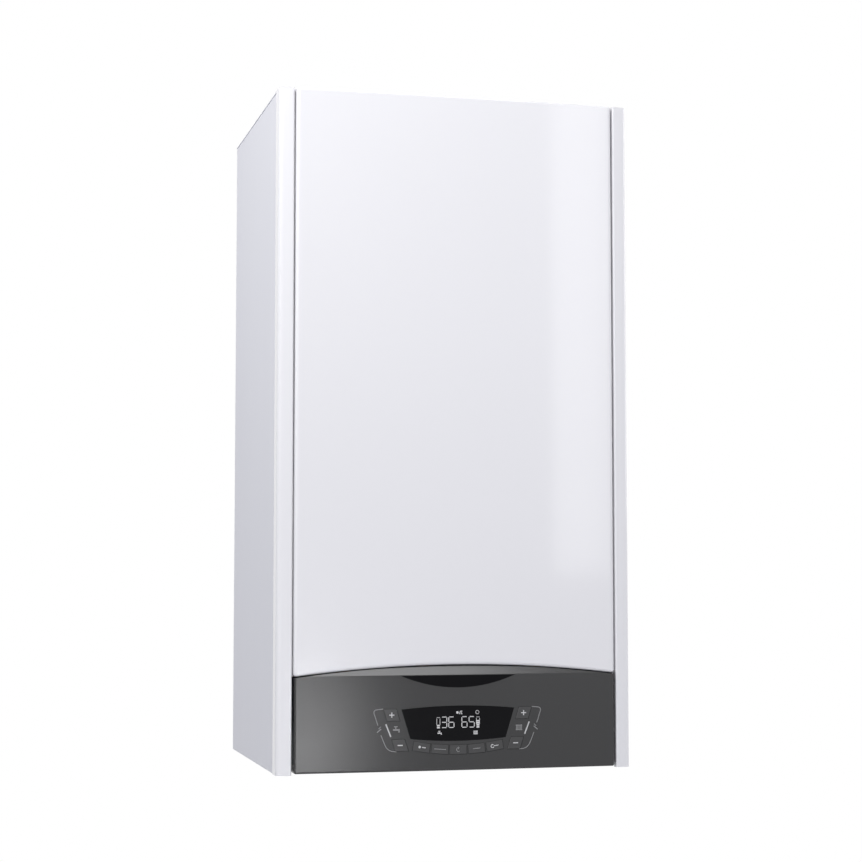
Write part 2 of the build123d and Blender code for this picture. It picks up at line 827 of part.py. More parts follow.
# Every key as (x, height, tilt in degrees, sideways lean per mm of height, width, height of cap)
keys = {}
for column, side in (("hot_water", -1), ("heating", 1)):
    for sign, (x, height) in (("plus", plus_key), ("minus", minus_key)):
        lean = side * window_lean
        keys[f"{column}_{sign}_key"] = (side * x, height, 0, lean, side_key_width, side_key_height)
for place, name in enumerate(("mode", "comfort", "auto", "info", "reset"), start=-2):
    x = place * row_pitch
    rise = row_radius - sqrt(row_radius**2 - x**2)
    tilt = degrees(asin(x / row_radius))
    keys[f"{name}_key"] = (x, row_height + rise, tilt, 0, row_key_width, row_key_height)

boss_x = box_half + boss_offset
boss_heights = (box_bottom + boss_inset, box_top - boss_inset)
boss_spots = [(x, height) for x in (-boss_x, boss_x) for height in boss_heights]
post_spots = [(x, height) for x in (-post_x, post_x) for height in (post_low, post_high)]
with BuildPart() as control_fascia:
    with BuildSketch(level(fascia_bottom)):
        crowned_section(fascia_front, fascia_back, fascia_half)
    extrude(amount=fascia_edge_height + fascia_rise)
    with BuildSketch(facing(fascia_back)):
        with Locations((0, arc_centre)):
            Circle(arc_radius)
    extrude(amount=2 * fascia_depth, mode=Mode.INTERSECT)
    # the bevel below the arched top leans back with the crown of the front
    with BuildSketch(level(bevel_line)):
        crowned_section(fascia_front, fascia_front - fascia_depth, fascia_half + 5)
    extrude(amount=20, dir=(0, bevel_slope, 1), mode=Mode.SUBTRACT)
    upright = control_fascia.edges().filter_by(Axis.Z).group_by(Axis.Y)[0]
    fillet(upright, bend_radius)
    face = control_fascia.faces().sort_by(Axis.Y)[0]
    fillet(face.edges().sort_by(Axis.Z)[0], bend_radius)
    offset(amount=-fascia_wall, openings=control_fascia.faces().sort_by(Axis.Y)[-1])
    with BuildSketch(facing(fascia_back)):
        window_outline(0)
    extrude(amount=2 * fascia_depth, mode=Mode.SUBTRACT)
    for key in keys.values():
        with BuildSketch(facing(fascia_back)):
            key_outline(key, key_gap, key_gap)
        extrude(amount=2 * fascia_depth, mode=Mode.SUBTRACT)
    with BuildSketch(facing(badge_floor)):
        badge_outline(0)
    extrude(amount=fascia_depth, mode=Mode.SUBTRACT)
    # bosses for the control box and posts for the display board
    for spots, radius, rear in ((boss_spots, boss_radius, rim_y), (post_spots, post_radius, board_front)):
        for x, height in spots:
            with BuildSketch(facing(rear, x, height)):
                Circle(radius)
            extrude(amount=rear - crown_y(fascia_front, x) - fascia_wall / 2)
control_fascia.part.label = "control_fascia"
export_step(control_fascia.part, "parts/control_fascia.step")

with BuildPart() as display_window:
    window_back = fascia_front + fascia_wall
    with BuildSketch(level(fascia_bottom)):
        crowned_section(fascia_front + snug_gap, window_back, window_top[0] + 2 * glue_gap)
    extrude(amount=fascia_edge_height)
    with BuildSketch(facing(window_back)):
        window_outline(glue_gap)
    extrude(amount=fascia_depth, mode=Mode.INTERSECT)
display_window.part.label = "display_window"
export_step(display_window.part, "parts/display_window.step")

with BuildPart() as badge_inset:
    with BuildSketch(level(fascia_bottom)):
        crowned_section(fascia_front + glue_gap, badge_floor, badge_half + 2 * glue_gap)
    extrude(amount=fascia_edge_height + fascia_rise)
    with BuildSketch(facing(badge_floor)):
        badge_outline(glue_gap)
    extrude(amount=fascia_depth, mode=Mode.INTERSECT)
badge_inset.part.label = "badge_inset"
export_step(badge_inset.part, "parts/badge_inset.step")

for name, key in keys.items():
    x, height, width = key[0], key[1], key[4]
    flange_front = crown_y(fascia_front, abs(x) + width / 2 + key_flange) + fascia_wall + fit_gap
    with BuildPart() as key_cap:
        with BuildSketch(level(fascia_bottom)):
            crowned_section(fascia_front - key_proud, flange_front, abs(x) + width)
        extrude(amount=fascia_edge_height)
        with BuildSketch(facing(flange_front)):
            key_outline(key, 0, 0)
        extrude(amount=fascia_depth, mode=Mode.INTERSECT)
        chamfer(key_cap.faces().sort_by(Axis.Y)[0].edges(), key_proud)
        with BuildSketch(facing(flange_front)):
            key_outline(key, key_flange_gap, key_flange)
        extrude(amount=-key_flange)
        stem_end = switch_front - key_travel - key_stem_gap
        with BuildSketch(facing(stem_end, x, height)):
            Circle(key_stem_radius)
        extrude(amount=stem_end - flange_front)
    key_cap.part.label = name
    export_step(key_cap.part, f"parts/{name}.step")

with BuildPart() as display_module:
    # board with its glass, and a dome switch behind every key
    with BuildSketch(facing(board_front + board_wall, 0, (post_low + post_high) / 2)):
        RectangleRounded(2 * (post_x + board_edge), post_high - post_low + 2 * board_edge, board_corner)
    extrude(amount=board_wall)
    with BuildSketch(facing(board_front, 0, (window_top[1] + window_foot[1]) / 2)):
        Rectangle(2 * window_foot[0] - board_wall, window_top[1] - window_foot[1] + board_wall)
    extrude(amount=board_front - window_back - fit_gap)
    with BuildSketch(facing(board_front)):
        for key in keys.values():
            with Locations((key[0], z_at(key[1]))):
                Rectangle(switch_width, switch_width)
    extrude(amount=switch_height)
display_module.part.label = "display_module"
export_step(display_module.part, "parts/display_module.step")

with BuildPart() as control_box:
    box_middle = (box_bottom + box_top) / 2
    box_depth = -box_rear - rim_y
    with BuildSketch(facing(-box_rear, 0, box_middle)):
        RectangleRounded(2 * box_half, box_top - box_bottom, box_corner)
    extrude(amount=box_depth)
    fillet(control_box.faces().sort_by(Axis.Y)[-1].edges(), bend_radius)
    offset(amount=-box_wall, openings=control_box.faces().sort_by(Axis.Y)[0])
    # rim on the fascia's bosses
    rim_half = fascia_half - fascia_wall - rim_gap
    rim_low = fascia_bottom + fascia_wall + rim_gap
    rim_high = fascia_edge_height - fascia_wall - rim_gap
    hollow_width = 2 * (box_half - box_wall)
    hollow_tall = box_top - box_bottom - 2 * box_wall
    with BuildSketch(facing(rim_y + box_wall, 0, (rim_low + rim_high) / 2)):
        Rectangle(2 * rim_half, rim_high - rim_low)
        with Locations((0, box_middle - (rim_low + rim_high) / 2)):
            RectangleRounded(hollow_width, hollow_tall, box_corner - box_wall, mode=Mode.SUBTRACT)
    extrude(amount=box_wall)
    # cable entry in the rear wall
    with BuildSketch(facing(-box_rear, entry_x, entry_middle)):
        RectangleRounded(entry_width, entry_height, box_wall)
    extrude(amount=box_wall, mode=Mode.SUBTRACT)
    # posts for the main board
    for x in (-box_half + main_post_x, box_half - main_post_x):
        for height in (box_bottom + main_post_z, box_top - main_post_z):
            with BuildSketch(facing(-box_rear - box_wall / 2, x, height)):
                Circle(boss_radius)
            extrude(amount=main_post)
    # hinge ears reaching back to the pins
    for side in (-1, 1):
        with BuildSketch(Plane.YZ.offset(side * box_half)):
            with Locations((hinge_y, z_at(hinge_height))):
                Circle(ear_radius)
                Rectangle(hinge_y + box_rear + box_wall, 2 * ear_radius, align=(Align.MAX, Align.CENTER))
                Circle(hinge_pin_radius + hinge_clearance, mode=Mode.SUBTRACT)
        extrude(amount=-ear_wall * side)
control_box.part.label = "control_box"
export_step(control_box.part, "parts/control_box.step")

# What stands on the main board: places along it, height above its middle, and width, tall, depth
board_blocks = {
    "transformer": ((-105,), 8, (42, 36, 28)),
    "relays": ((-60, -40, -20, 0), 16, (14, 28, 16)),
    "capacitors": ((44, 68, 92), 10, (18, 18, 25)),
    "connectors": ((-112, -80, -48, -16, 16, 48, 80, 112), -28, (24, 9, 12)),
}
board_rear = -box_rear - box_wall / 2 - main_post
with BuildPart() as main_board:
    with BuildSketch(facing(board_rear, 0, box_middle)):
        RectangleRounded(
            2 * (box_half - main_board_side),
            box_top - box_bottom - 2 * main_board_edge,
            board_corner,
        )
    extrude(amount=board_wall)
    for places, rise, (width, tall, depth) in board_blocks.values():
        with BuildSketch(facing(board_rear - board_wall, 0, box_middle + rise)):
            with Locations(*[(x, 0) for x in places]):
                Rectangle(width, tall)
        extrude(amount=depth)
main_board.part.label = "main_board"
export_step(main_board.part, "parts/main_board.step")

# ---------------------------------------------------------------- sealed chamber

with BuildPart() as chamber_box:
    chamber_middle = (chamber_bottom + chamber_top) / 2
    chamber_tall = chamber_top - chamber_bottom
    with BuildSketch(facing(-chamber_rear, 0, chamber_middle)):
        Rectangle(2 * chamber_half, chamber_tall)
    extrude(amount=chamber_front - chamber_rear)
    offset(amount=-sheet, openings=chamber_box.faces().sort_by(Axis.Y)[0])
    # its rear wall reaches out to the side panels
    with BuildSketch(facing(-chamber_rear, 0, chamber_middle)):
        Rectangle(2 * skin_inner, chamber_tall)
    extrude(amount=sheet)
    with BuildSketch(level(chamber_bottom)):
        for x, y, radius in (
            (cell_x - pipe_stub_offset, stub_y, water_pipe_radius),
            (cell_x + pipe_stub_offset, stub_y, water_pipe_radius),
            (cell_x, drain_y, hose_radius),
            (0, valve_y, gas_tube_radius),
        ):
            with Locations((x, y)):
                Circle(radius + pass_gap)
    extrude(amount=sheet, mode=Mode.SUBTRACT)
    with BuildSketch(level(chamber_top, 0, flue_y)):
        Circle(air_radius)
    extrude(amount=-sheet, mode=Mode.SUBTRACT)
chamber_box.part.label = "chamber_box"
export_step(chamber_box.part, "parts/chamber_box.step")

with BuildPart() as chamber_cover:
    lid_half = chamber_half + fit_gap + sheet
    field_width = 2 * (lid_half - lid_field_edge)
    field_tall = chamber_tall - 2 * lid_field_edge
    with BuildSketch(facing(-chamber_front + lid_lap, 0, chamber_middle)):
        Rectangle(2 * lid_half, chamber_tall + 2 * (fit_gap + sheet))
    extrude(amount=lid_lap + sheet)
    offset(amount=-sheet, openings=chamber_cover.faces().sort_by(Axis.Y)[-1])
    # shallow pressed field that stiffens the lid
    with BuildSketch(facing(-chamber_front - sheet, 0, chamber_middle)):
        RectangleRounded(field_width, field_tall, lid_field_corner)
    extrude(amount=lid_field_depth, taper=field_draft)
    with BuildSketch(facing(-chamber_front, 0, chamber_middle)):
        RectangleRounded(field_width - 2 * sheet, field_tall - 2 * sheet, lid_field_corner - sheet)
    extrude(amount=lid_field_depth, taper=field_draft, mode=Mode.SUBTRACT)
chamber_cover.part.label = "chamber_cover"
export_step(chamber_cover.part, "parts/chamber_cover.step")

with BuildPart() as heat_exchanger:
    spigot_radius = flue_radius - fit_gap
    with BuildSketch(facing(-cell_rear, cell_x, cell_height)):
        Circle(cell_radius)
    extrude(amount=cell_length)
    with BuildSketch(level(cell_height, 0, flue_y)):
        Circle(spigot_radius)
    extrude(amount=spigot_top - cell_height)
    with BuildSketch(level(stub_bottom)):
        with Locations((cell_x, drain_y)):
            Circle(pipe_stub_radius)
        with Locations((cell_x, stub_y)):
            with GridLocations(2 * pipe_stub_offset, 0, 2, 1):
                Circle(pipe_stub_radius)
    extrude(amount=cell_height - cell_radius / 2 - stub_bottom)
    # hollow drum with the tube bank round the burner
    with BuildSketch(facing(-cell_rear - cell_wall, cell_x, cell_height)):
        Circle(cell_radius - cell_wall)
    extrude(amount=cell_length, mode=Mode.SUBTRACT)
    with BuildSketch(facing(-cell_rear - cell_wall / 2, cell_x, cell_height)):
        Circle(cell_radius - coil_gap)
        Circle(cell_radius - coil_gap - coil_wall, mode=Mode.SUBTRACT)
    extrude(amount=cell_length - coil_end_gap)
    with BuildSketch(level(cell_height + cell_radius / 2, 0, flue_y)):
        Circle(spigot_radius - pipe_wall)
    extrude(amount=blank, mode=Mode.SUBTRACT)
heat_exchanger.part.label = "heat_exchanger"
export_step(heat_exchanger.part, "parts/heat_exchanger.step")

with BuildPart() as burner_door:
    with BuildSketch(facing(-cell_front, cell_x, cell_height)):
        Circle(cell_radius)
        Circle(burner_radius - burner_seat, mode=Mode.SUBTRACT)
        with Locations(*electrode_spots):
            Circle(electrode_radius + snug_gap, mode=Mode.SUBTRACT)
    extrude(amount=door_wall / 2)
    with BuildSketch(facing(-cell_front - door_wall / 2, cell_x, cell_height)):
        Circle(burner_radius + door_hub)
        Circle(burner_radius - burner_seat, mode=Mode.SUBTRACT)
    extrude(amount=door_wall / 2)
    # bolt heads round the rim
    with BuildSketch(facing(-cell_front - door_wall / 2, cell_x, cell_height)):
        with PolarLocations(door_radius, 6, start_angle=30):
            RegularPolygon(door_bolt_radius, 6)
    extrude(amount=door_bolt_height)
burner_door.part.label = "burner_door"
export_step(burner_door.part, "parts/burner_door.step")

with BuildPart() as burner_tube:
    with BuildSketch(facing(-cell_front + burner_length, cell_x, cell_height)):
        Circle(burner_radius)
    extrude(amount=burner_length)
    offset(amount=-cell_wall, openings=burner_tube.faces().sort_by(Axis.Y)[0])
burner_tube.part.label = "burner_tube"
export_step(burner_tube.part, "parts/burner_tube.step")

with BuildPart() as electrodes:
    for x, rise in electrode_spots:
        with BuildSketch(facing(-cell_front + electrode_inner, cell_x + x, cell_height + rise)):
            Circle(electrode_radius)
        extrude(amount=electrode_inner + electrode_outer)
        with BuildSketch(facing(-cell_front + electrode_tip, cell_x + x, cell_height + rise)):
            Circle(electrode_tip_radius)
        extrude(amount=electrode_tip - electrode_inner)
electrodes.part.label = "electrodes"
export_step(electrodes.part, "parts/electrodes.step")

with BuildPart() as mixing_duct:
    with BuildSketch(facing(-door_front, cell_x, cell_height)):
        Circle(burner_radius + door_hub)
        with Locations((outlet_x - cell_x, outlet_top + elbow_height / 2 - cell_height)):
            Circle(elbow_height / 2)
        make_hull()
    extrude(amount=duct_depth)
    with BuildSketch(level(outlet_top, outlet_x, -(door_front + duct_depth / 2))):
        Rectangle(
            outlet_width + 2 * outlet_lip,
            door_front + duct_depth / 2 - fan_rear,
            align=(Align.CENTER, Align.MIN),
        )
    extrude(amount=elbow_height)
    fillet(mixing_duct.faces().sort_by(Axis.Y)[0].edges(), duct_radius)
mixing_duct.part.label = "mixing_duct"
export_step(mixing_duct.part, "parts/mixing_duct.step")

with BuildPart() as fan_housing:
    with BuildSketch(facing(-fan_rear, fan_x, fan_height)):
        Circle(fan_radius)
        with Locations((outlet_x - fan_x, 0)):
            Rectangle(outlet_width, outlet_top - fan_height, align=(Align.CENTER, Align.MIN))
    extrude(amount=fan_depth)
    with BuildSketch(level(outlet_top, outlet_x, -fan_rear - fan_depth / 2)):
        Rectangle(outlet_width + 2 * outlet_lip, fan_depth)
    extrude(amount=-flange_wall)
    with BuildSketch(facing(-fan_rear - fan_wall, fan_x, fan_height)):
        Circle(fan_radius - fan_wall)
        with Locations((outlet_x - fan_x, 0)):
            Rectangle(outlet_width - 2 * fan_wall, outlet_top - fan_height, align=(Align.CENTER, Align.MIN))
    extrude(amount=fan_depth - 2 * fan_wall, mode=Mode.SUBTRACT)
    with BuildSketch(facing(-fan_rear, fan_x, fan_height)):
        Circle(venturi_radius)
    extrude(amount=fan_wall, mode=Mode.SUBTRACT)
    with BuildSketch(facing(-fan_front + fan_wall, fan_x, fan_height)):
        Circle(fan_shaft_radius + pass_gap)
    extrude(amount=fan_wall, mode=Mode.SUBTRACT)
fan_housing.part.label = "fan_housing"
export_step(fan_housing.part, "parts/fan_housing.step")


def curved_blades(count, inner, outer, sweep_back, wall):
    """Blades that curve back from the inner to the outer radius, about the sketch's origin."""
    with BuildLine() as outline:
        RadiusArc((inner, 0), (outer, -sweep_back), -1.2 * (outer - inner))
        offset(amount=wall, side=Side.LEFT)
    blade = make_face(outline.line)
    for i in range(1, count):
        add(blade.rotate(Axis.Z, 360 * i / count))


with BuildPart() as fan_impeller:
    wheel_back = -fan_front + fan_wall + wheel_gap
    blade_length = fan_depth - 2 * fan_wall - 4 * wheel_gap
    with BuildSketch(facing(wheel_back, fan_x, fan_height)):
        Circle(fan_wheel_radius)
    extrude(amount=fan_blade_wall)
    with BuildSketch(facing(wheel_back + blade_length, fan_x, fan_height)):
        curved_blades(
            fan_blades,
            fan_eye_radius - wheel_gap,
            fan_wheel_radius - wheel_gap,
            fan_blade_sweep,
            fan_blade_wall,
        )
    extrude(amount=blade_length)
    with BuildSketch(facing(wheel_back + blade_length, fan_x, fan_height)):
        Circle(fan_wheel_radius)
        Circle(fan_eye_radius, mode=Mode.SUBTRACT)
    extrude(amount=fan_blade_wall)
    with BuildSketch(facing(wheel_back + fan_hub_length, fan_x, fan_height)):
        Circle(fan_hub_radius)
    extrude(amount=fan_hub_length)
    with BuildSketch(facing(wheel_back, fan_x, fan_height)):
        Circle(fan_shaft_radius)
    extrude(amount=fan_shaft_length)
fan_impeller.part.label = "fan_impeller"
export_step(fan_impeller.part, "parts/fan_impeller.step")

with BuildPart() as fan_motor:
    with BuildSketch(facing(-fan_front, fan_x, fan_height)):
        Circle(motor_flange_radius)
    extrude(amount=motor_flange_wall)
    with BuildSketch(facing(-fan_front - motor_flange_wall, fan_x, fan_height)):
        Circle(motor_can_radius)
        with Locations((0, -motor_can_radius)):
            RectangleRounded(*motor_plug, board_corner)
    extrude(amount=motor_can_length)
    chamfer(fan_motor.faces().sort_by(Axis.Y)[0].edges(), board_corner / 2)
    with BuildSketch(facing(-fan_front, fan_x, fan_height)):
        Circle(fan_shaft_radius + shaft_clearance)
    extrude(amount=fan_shaft_length - wheel_gap, mode=Mode.SUBTRACT)
fan_motor.part.label = "fan_motor"
export_step(fan_motor.part, "parts/fan_motor.step")

with BuildPart() as venturi:
    # bell mouth and throat, turned about the fan's axis
    with BuildSketch(Plane((fan_x, 0, z_at(fan_height)))):
        with BuildLine():
            FilletPolyline(
                (venturi_radius, -fan_rear),
                (venturi_radius - venturi_waist, -fan_rear + 0.45 * venturi_length),
                (venturi_radius + venturi_waist, -fan_rear + venturi_length),
                radius=venturi_bend,
            )
            offset(amount=fan_wall, side=Side.RIGHT)
        make_face()
    revolve(axis=Axis((fan_x, 0, z_at(fan_height)), (0, 1, 0)))
    with BuildSketch(level(venturi_foot, fan_x, venturi_middle)):
        Circle(gas_tube_radius + fan_wall)
    extrude(amount=2 * venturi_waist - fan_wall)
venturi.part.label = "venturi"
export_step(venturi.part, "parts/venturi.step")

with BuildPart() as expansion_vessel:
    vessel_rear = -back_sheet - fit_gap
    vessel_front = vessel_rear - vessel_depth
    with BuildSketch(Plane((0, 0, z_at(vessel_height)))):
        with BuildLine():
            Polyline(
                (vent_radius, vessel_rear),
                (0.66 * vessel_radius, vessel_rear),
                (0.93 * vessel_radius, vessel_rear - 0.14 * vessel_depth),
                (vessel_radius, vessel_rear - 0.36 * vessel_depth),
                (vessel_radius, vessel_front + 0.36 * vessel_depth),
                (0.93 * vessel_radius, vessel_front + 0.14 * vessel_depth),
                (0.66 * vessel_radius, vessel_front),
                (vent_radius, vessel_front),
            )
            offset(amount=vessel_wall, side=Side.RIGHT)
        make_face()
        # seam of its two halves, and the charging valve
        with Locations((vessel_radius + sheet, (vessel_rear + vessel_front) / 2)):
            Rectangle(*vessel_seam)
        with Locations((vent_radius, vessel_front)):
            Rectangle(*vent_boss, align=(Align.MIN, Align.MAX))
    revolve(axis=Axis((0, 0, z_at(vessel_height)), (0, 1, 0)))
expansion_vessel.part.label = "expansion_vessel"
export_step(expansion_vessel.part, "parts/expansion_vessel.step")

# ---------------------------------------------------------------- hydraulics and gas

pump_rear = pipe_row_y + pump_depth / 2
pump_front = pump_rear - pump_depth
pump_port_height = pump_height - pump_radius - boss_wall
pump_outlet_x = return_x - pump_outlet_offset
pump_outlet_top = pump_height + pump_radius + pump_outlet_rise
vent_low = pump_height + pump_radius + boss_wall
relief_port_y = pipe_row_y - manifold_radius - relief_port_rise
valve_top = valve_bottom + valve_height


def boss(x, y, radius, low, high):
    """Upright round boss of the open part."""
    with BuildSketch(level(low, x, y)) as section:
        Circle(radius)
    extrude(section.sketch, amount=high - low)


def manifold(start, end):
    """Horizontal tube of a hydraulic block, with its port to the plate exchanger behind."""
    with BuildSketch(Plane.YZ.offset(start)) as tube:
        with Locations((pipe_row_y, z_at(manifold_height))):
            Circle(manifold_radius)
    extrude(tube.sketch, amount=end - start)
    side = 1 if start > 0 else -1
    with BuildSketch(facing(exchanger_front, side * exchanger_port_x, manifold_height)) as port:
        Circle(port_radius)
    extrude(port.sketch, amount=exchanger_front - pipe_row_y)


with BuildPart() as flow_block:
    manifold(flow_x - manifold_radius - manifold_end, hot_x + port_radius + boss_wall)
    boss(flow_x, pipe_row_y, heating_thread_radius + boss_wall, block_bottom, manifold_height)
    boss(hot_x, pipe_row_y, water_thread_radius + boss_wall, block_bottom, manifold_height)
    boss(flow_x, pipe_row_y, diverter_bore + diverter_wall, manifold_height, diverter_top)
    boss(flow_boss_x, pipe_row_y, water_pipe_radius + boss_wall, manifold_height, flow_boss_top)
    # port of the safety valve
    with BuildSketch(facing(pipe_row_y, relief_x, manifold_height)):
        Circle(port_radius)
    extrude(amount=pipe_row_y - relief_port_y)
    # bore of the diverter valve
    with BuildSketch(level(diverter_bottom, flow_x, pipe_row_y)):
        Circle(diverter_bore)
    extrude(amount=diverter_top - diverter_bottom, mode=Mode.SUBTRACT)
flow_block.part.label = "flow_block"
export_step(flow_block.part, "parts/flow_block.step")

with BuildPart() as return_block:
    manifold(cold_x - port_radius - boss_wall, return_x + manifold_radius + manifold_end)
    boss(cold_x, pipe_row_y, water_thread_radius + boss_wall, block_bottom, manifold_height)
    boss(return_x, pipe_row_y, heating_thread_radius + boss_wall, block_bottom, manifold_height)
    boss(return_x, pipe_row_y, pump_port_radius, manifold_height, pump_port_height)
    boss(filling_x, filling_y, filling_stem_radius + boss_wall, block_bottom, manifold_height)
    with BuildSketch(level(block_bottom, filling_x, filling_y)):
        Circle(filling_stem_radius + shaft_clearance)
    extrude(amount=filling_entry + pass_gap, mode=Mode.SUBTRACT)
return_block.part.label = "return_block"
export_step(return_block.part, "parts/return_block.step")

with BuildPart() as plate_exchanger:
    exchanger_middle = manifold_height + exchanger_rise
    with BuildSketch(facing(exchanger_front + exchanger_depth, 0, exchanger_middle)):
        RectangleRounded(exchanger_length, exchanger_height, exchanger_corner)
    extrude(amount=exchanger_depth)
    # hollow between its end plates, with the two ports open
    with BuildSketch(facing(exchanger_front + exchanger_depth - exchanger_end, 0, exchanger_middle)):
        RectangleRounded(
            exchanger_length - 2 * exchanger_edge,
            exchanger_height - 2 * exchanger_edge,
            exchanger_corner - exchanger_edge,
        )
    extrude(amount=exchanger_depth - 2 * exchanger_end, mode=Mode.SUBTRACT)
    with BuildSketch(facing(exchanger_front + exchanger_depth / 2, 0, manifold_height)):
        with GridLocations(2 * exchanger_port_x, 0, 2, 1):
            Circle(exchanger_port)
    extrude(amount=exchanger_depth, mode=Mode.SUBTRACT)
plate_exchanger.part.label = "plate_exchanger"
export_step(plate_exchanger.part, "parts/plate_exchanger.step")

with BuildPart() as diverter_motor:
    with BuildSketch(level(diverter_top, flow_x, pipe_row_y)):
        Circle(manifold_radius)
    extrude(amount=diverter_flange)
    with BuildSketch(level(diverter_top + diverter_flange, flow_x, pipe_row_y)):
        RectangleRounded(*diverter_case, box_corner)
    extrude(amount=diverter_case_height)
    chamfer(diverter_motor.faces().sort_by(Axis.Z)[-1].edges(), bend_radius)
    with BuildSketch(level(diverter_top, flow_x, pipe_row_y)):
        Circle(stem_radius + shaft_clearance)
    extrude(amount=stem_entry + diverter_travel, mode=Mode.SUBTRACT)
diverter_motor.part.label = "diverter_motor"
export_step(diverter_motor.part, "parts/diverter_motor.step")

with BuildPart() as diverter_stem:
    stem_low = diverter_bottom + diverter_travel + boss_wall
    with BuildSketch(level(stem_low, flow_x, pipe_row_y)):
        Circle(stem_radius)
    extrude(amount=diverter_top + stem_entry - stem_low)
    for height in (stem_low, stem_low + seal_pitch):
        with BuildSketch(level(height, flow_x, pipe_row_y)):
            Circle(diverter_bore - seal_gap)
        extrude(amount=seal_height)
diverter_stem.part.label = "diverter_stem"
export_step(diverter_stem.part, "parts/diverter_stem.step")

with BuildPart() as safety_valve:
    with BuildSketch(facing(relief_port_y, relief_x, manifold_height)):
        RegularPolygon(port_radius + pass_gap, 6)
    extrude(amount=nut_length)
    with BuildSketch(facing(relief_port_y - nut_length, relief_x, manifold_height)):
        Circle(relief_body_radius)
    extrude(amount=relief_length - nut_length)
    with BuildSketch(facing(relief_port_y - relief_length, relief_x, manifold_height)):
        Circle(filling_stem_radius)
    extrude(amount=relief_stem)
    boss(relief_x, relief_y, relief_pipe_radius, plate_height - relief_drop, manifold_height)
safety_valve.part.label = "safety_valve"
export_step(safety_valve.part, "parts/safety_valve.step")


def fluted_knob(plane, length):
    """Round grip with flutes, extruded from a plane at its centre."""
    with BuildSketch(plane) as grip:
        Circle(knob_radius)
        with PolarLocations(knob_radius + flute_depth, flute_count):
            Circle(2 * flute_depth, mode=Mode.SUBTRACT)
    extrude(grip.sketch, amount=length)


with BuildPart() as safety_knob:
    knob_face = relief_port_y - relief_length - fit_gap
    fluted_knob(facing(knob_face, relief_x, manifold_height), relief_stem + boss_wall)
    with BuildSketch(facing(knob_face, relief_x, manifold_height)):
        Circle(filling_stem_radius + shaft_clearance)
    extrude(amount=relief_stem, mode=Mode.SUBTRACT)
safety_knob.part.label = "safety_knob"
export_step(safety_knob.part, "parts/safety_knob.step")

with BuildPart() as filling_knob:
    knob_top = plate_height - filling_drop
    fluted_knob(level(knob_top - filling_knob_length, filling_x, filling_y), filling_knob_length)
    with BuildSketch(level(knob_top, filling_x, filling_y)):
        Circle(filling_stem_radius)
    extrude(amount=block_bottom + filling_entry - knob_top)
filling_knob.part.label = "filling_knob"
export_step(filling_knob.part, "parts/filling_knob.step")

with BuildPart() as pump_body:
    with BuildSketch(facing(pump_rear, return_x, pump_height)):
        Circle(pump_radius)
    extrude(amount=pump_depth)
    boss(return_x, pipe_row_y, pump_port_radius, pump_port_height, pump_height)
    boss(pump_outlet_x, pipe_row_y, water_pipe_radius + boss_wall, pump_height, pump_outlet_top)
    boss(return_x + pump_vent_offset, pipe_row_y, plug_radius, pump_height, vent_low)
    with BuildSketch(facing(pump_rear - pump_wall, return_x, pump_height)):
        Circle(pump_radius - pump_wall)
    extrude(amount=pump_depth, mode=Mode.SUBTRACT)
pump_body.part.label = "pump_body"
export_step(pump_body.part, "parts/pump_body.step")

with BuildPart() as pump_motor:
    with BuildSketch(facing(pump_front, return_x, pump_height)):
        RectangleRounded(2 * (motor_radius + sheet), 2 * (motor_radius + sheet), motor_corner)
    extrude(amount=pump_flange_wall)
    with BuildSketch(facing(pump_front - pump_flange_wall, return_x, pump_height)):
        Circle(motor_radius)
    extrude(amount=motor_length - pump_flange_wall)
    chamfer(pump_motor.faces().sort_by(Axis.Y)[0].edges(), motor_bevel)
    with BuildSketch(facing(pump_front - motor_length, return_x, pump_height)):
        Circle(plug_radius)
    extrude(amount=motor_bevel)
    # terminal box on top
    with BuildSketch(facing(pump_front - pump_flange_wall, return_x, pump_height + motor_radius)):
        RectangleRounded(*terminal_box, board_corner)
    extrude(amount=motor_length - pump_flange_wall - terminal_inset)
    with BuildSketch(facing(pump_front, return_x, pump_height)):
        Circle(shaft_radius + shaft_clearance)
    extrude(amount=pump_shaft_length + pass_gap, mode=Mode.SUBTRACT)
pump_motor.part.label = "pump_motor"
export_step(pump_motor.part, "parts/pump_motor.step")

with BuildPart() as pump_impeller:
    pump_back = pump_front + wheel_gap
    vane_start = pump_back + pump_blade_wall
    vane_length = pump_depth - pump_wall - 2 * (wheel_gap + pump_blade_wall) - wheel_gap
    with BuildSketch(facing(pump_back, return_x, pump_height)):
        Circle(pump_wheel_radius)
    extrude(amount=-pump_blade_wall)
    with BuildSketch(facing(vane_start, return_x, pump_height)):
        curved_blades(
            pump_blades,
            pump_eye_radius - 2 * wheel_gap,
            pump_wheel_radius - wheel_gap,
            pump_blade_sweep,
            pump_blade_wall,
        )
    extrude(amount=-vane_length)
    with BuildSketch(facing(vane_start + vane_length, return_x, pump_height)):
        Circle(pump_wheel_radius)
        Circle(pump_eye_radius, mode=Mode.SUBTRACT)
    extrude(amount=-pump_blade_wall)
    with BuildSketch(facing(pump_back, return_x, pump_height)):
        Circle(shaft_radius)
    extrude(amount=pump_back - pump_front + pump_shaft_length)
pump_impeller.part.label = "pump_impeller"
export_step(pump_impeller.part, "parts/pump_impeller.step")

with BuildPart() as air_vent:
    with BuildSketch(level(vent_low, return_x + pump_vent_offset, pipe_row_y)):
        Circle(air_vent_radius)
    extrude(amount=air_vent_height)
    chamfer(air_vent.faces().sort_by(Axis.Z)[-1].edges(), motor_bevel)
    with BuildSketch(level(vent_low + air_vent_height, return_x + pump_vent_offset, pipe_row_y)):
        Circle(air_cap_radius)
    extrude(amount=air_cap_height)
air_vent.part.label = "air_vent"
export_step(air_vent.part, "parts/air_vent.step")

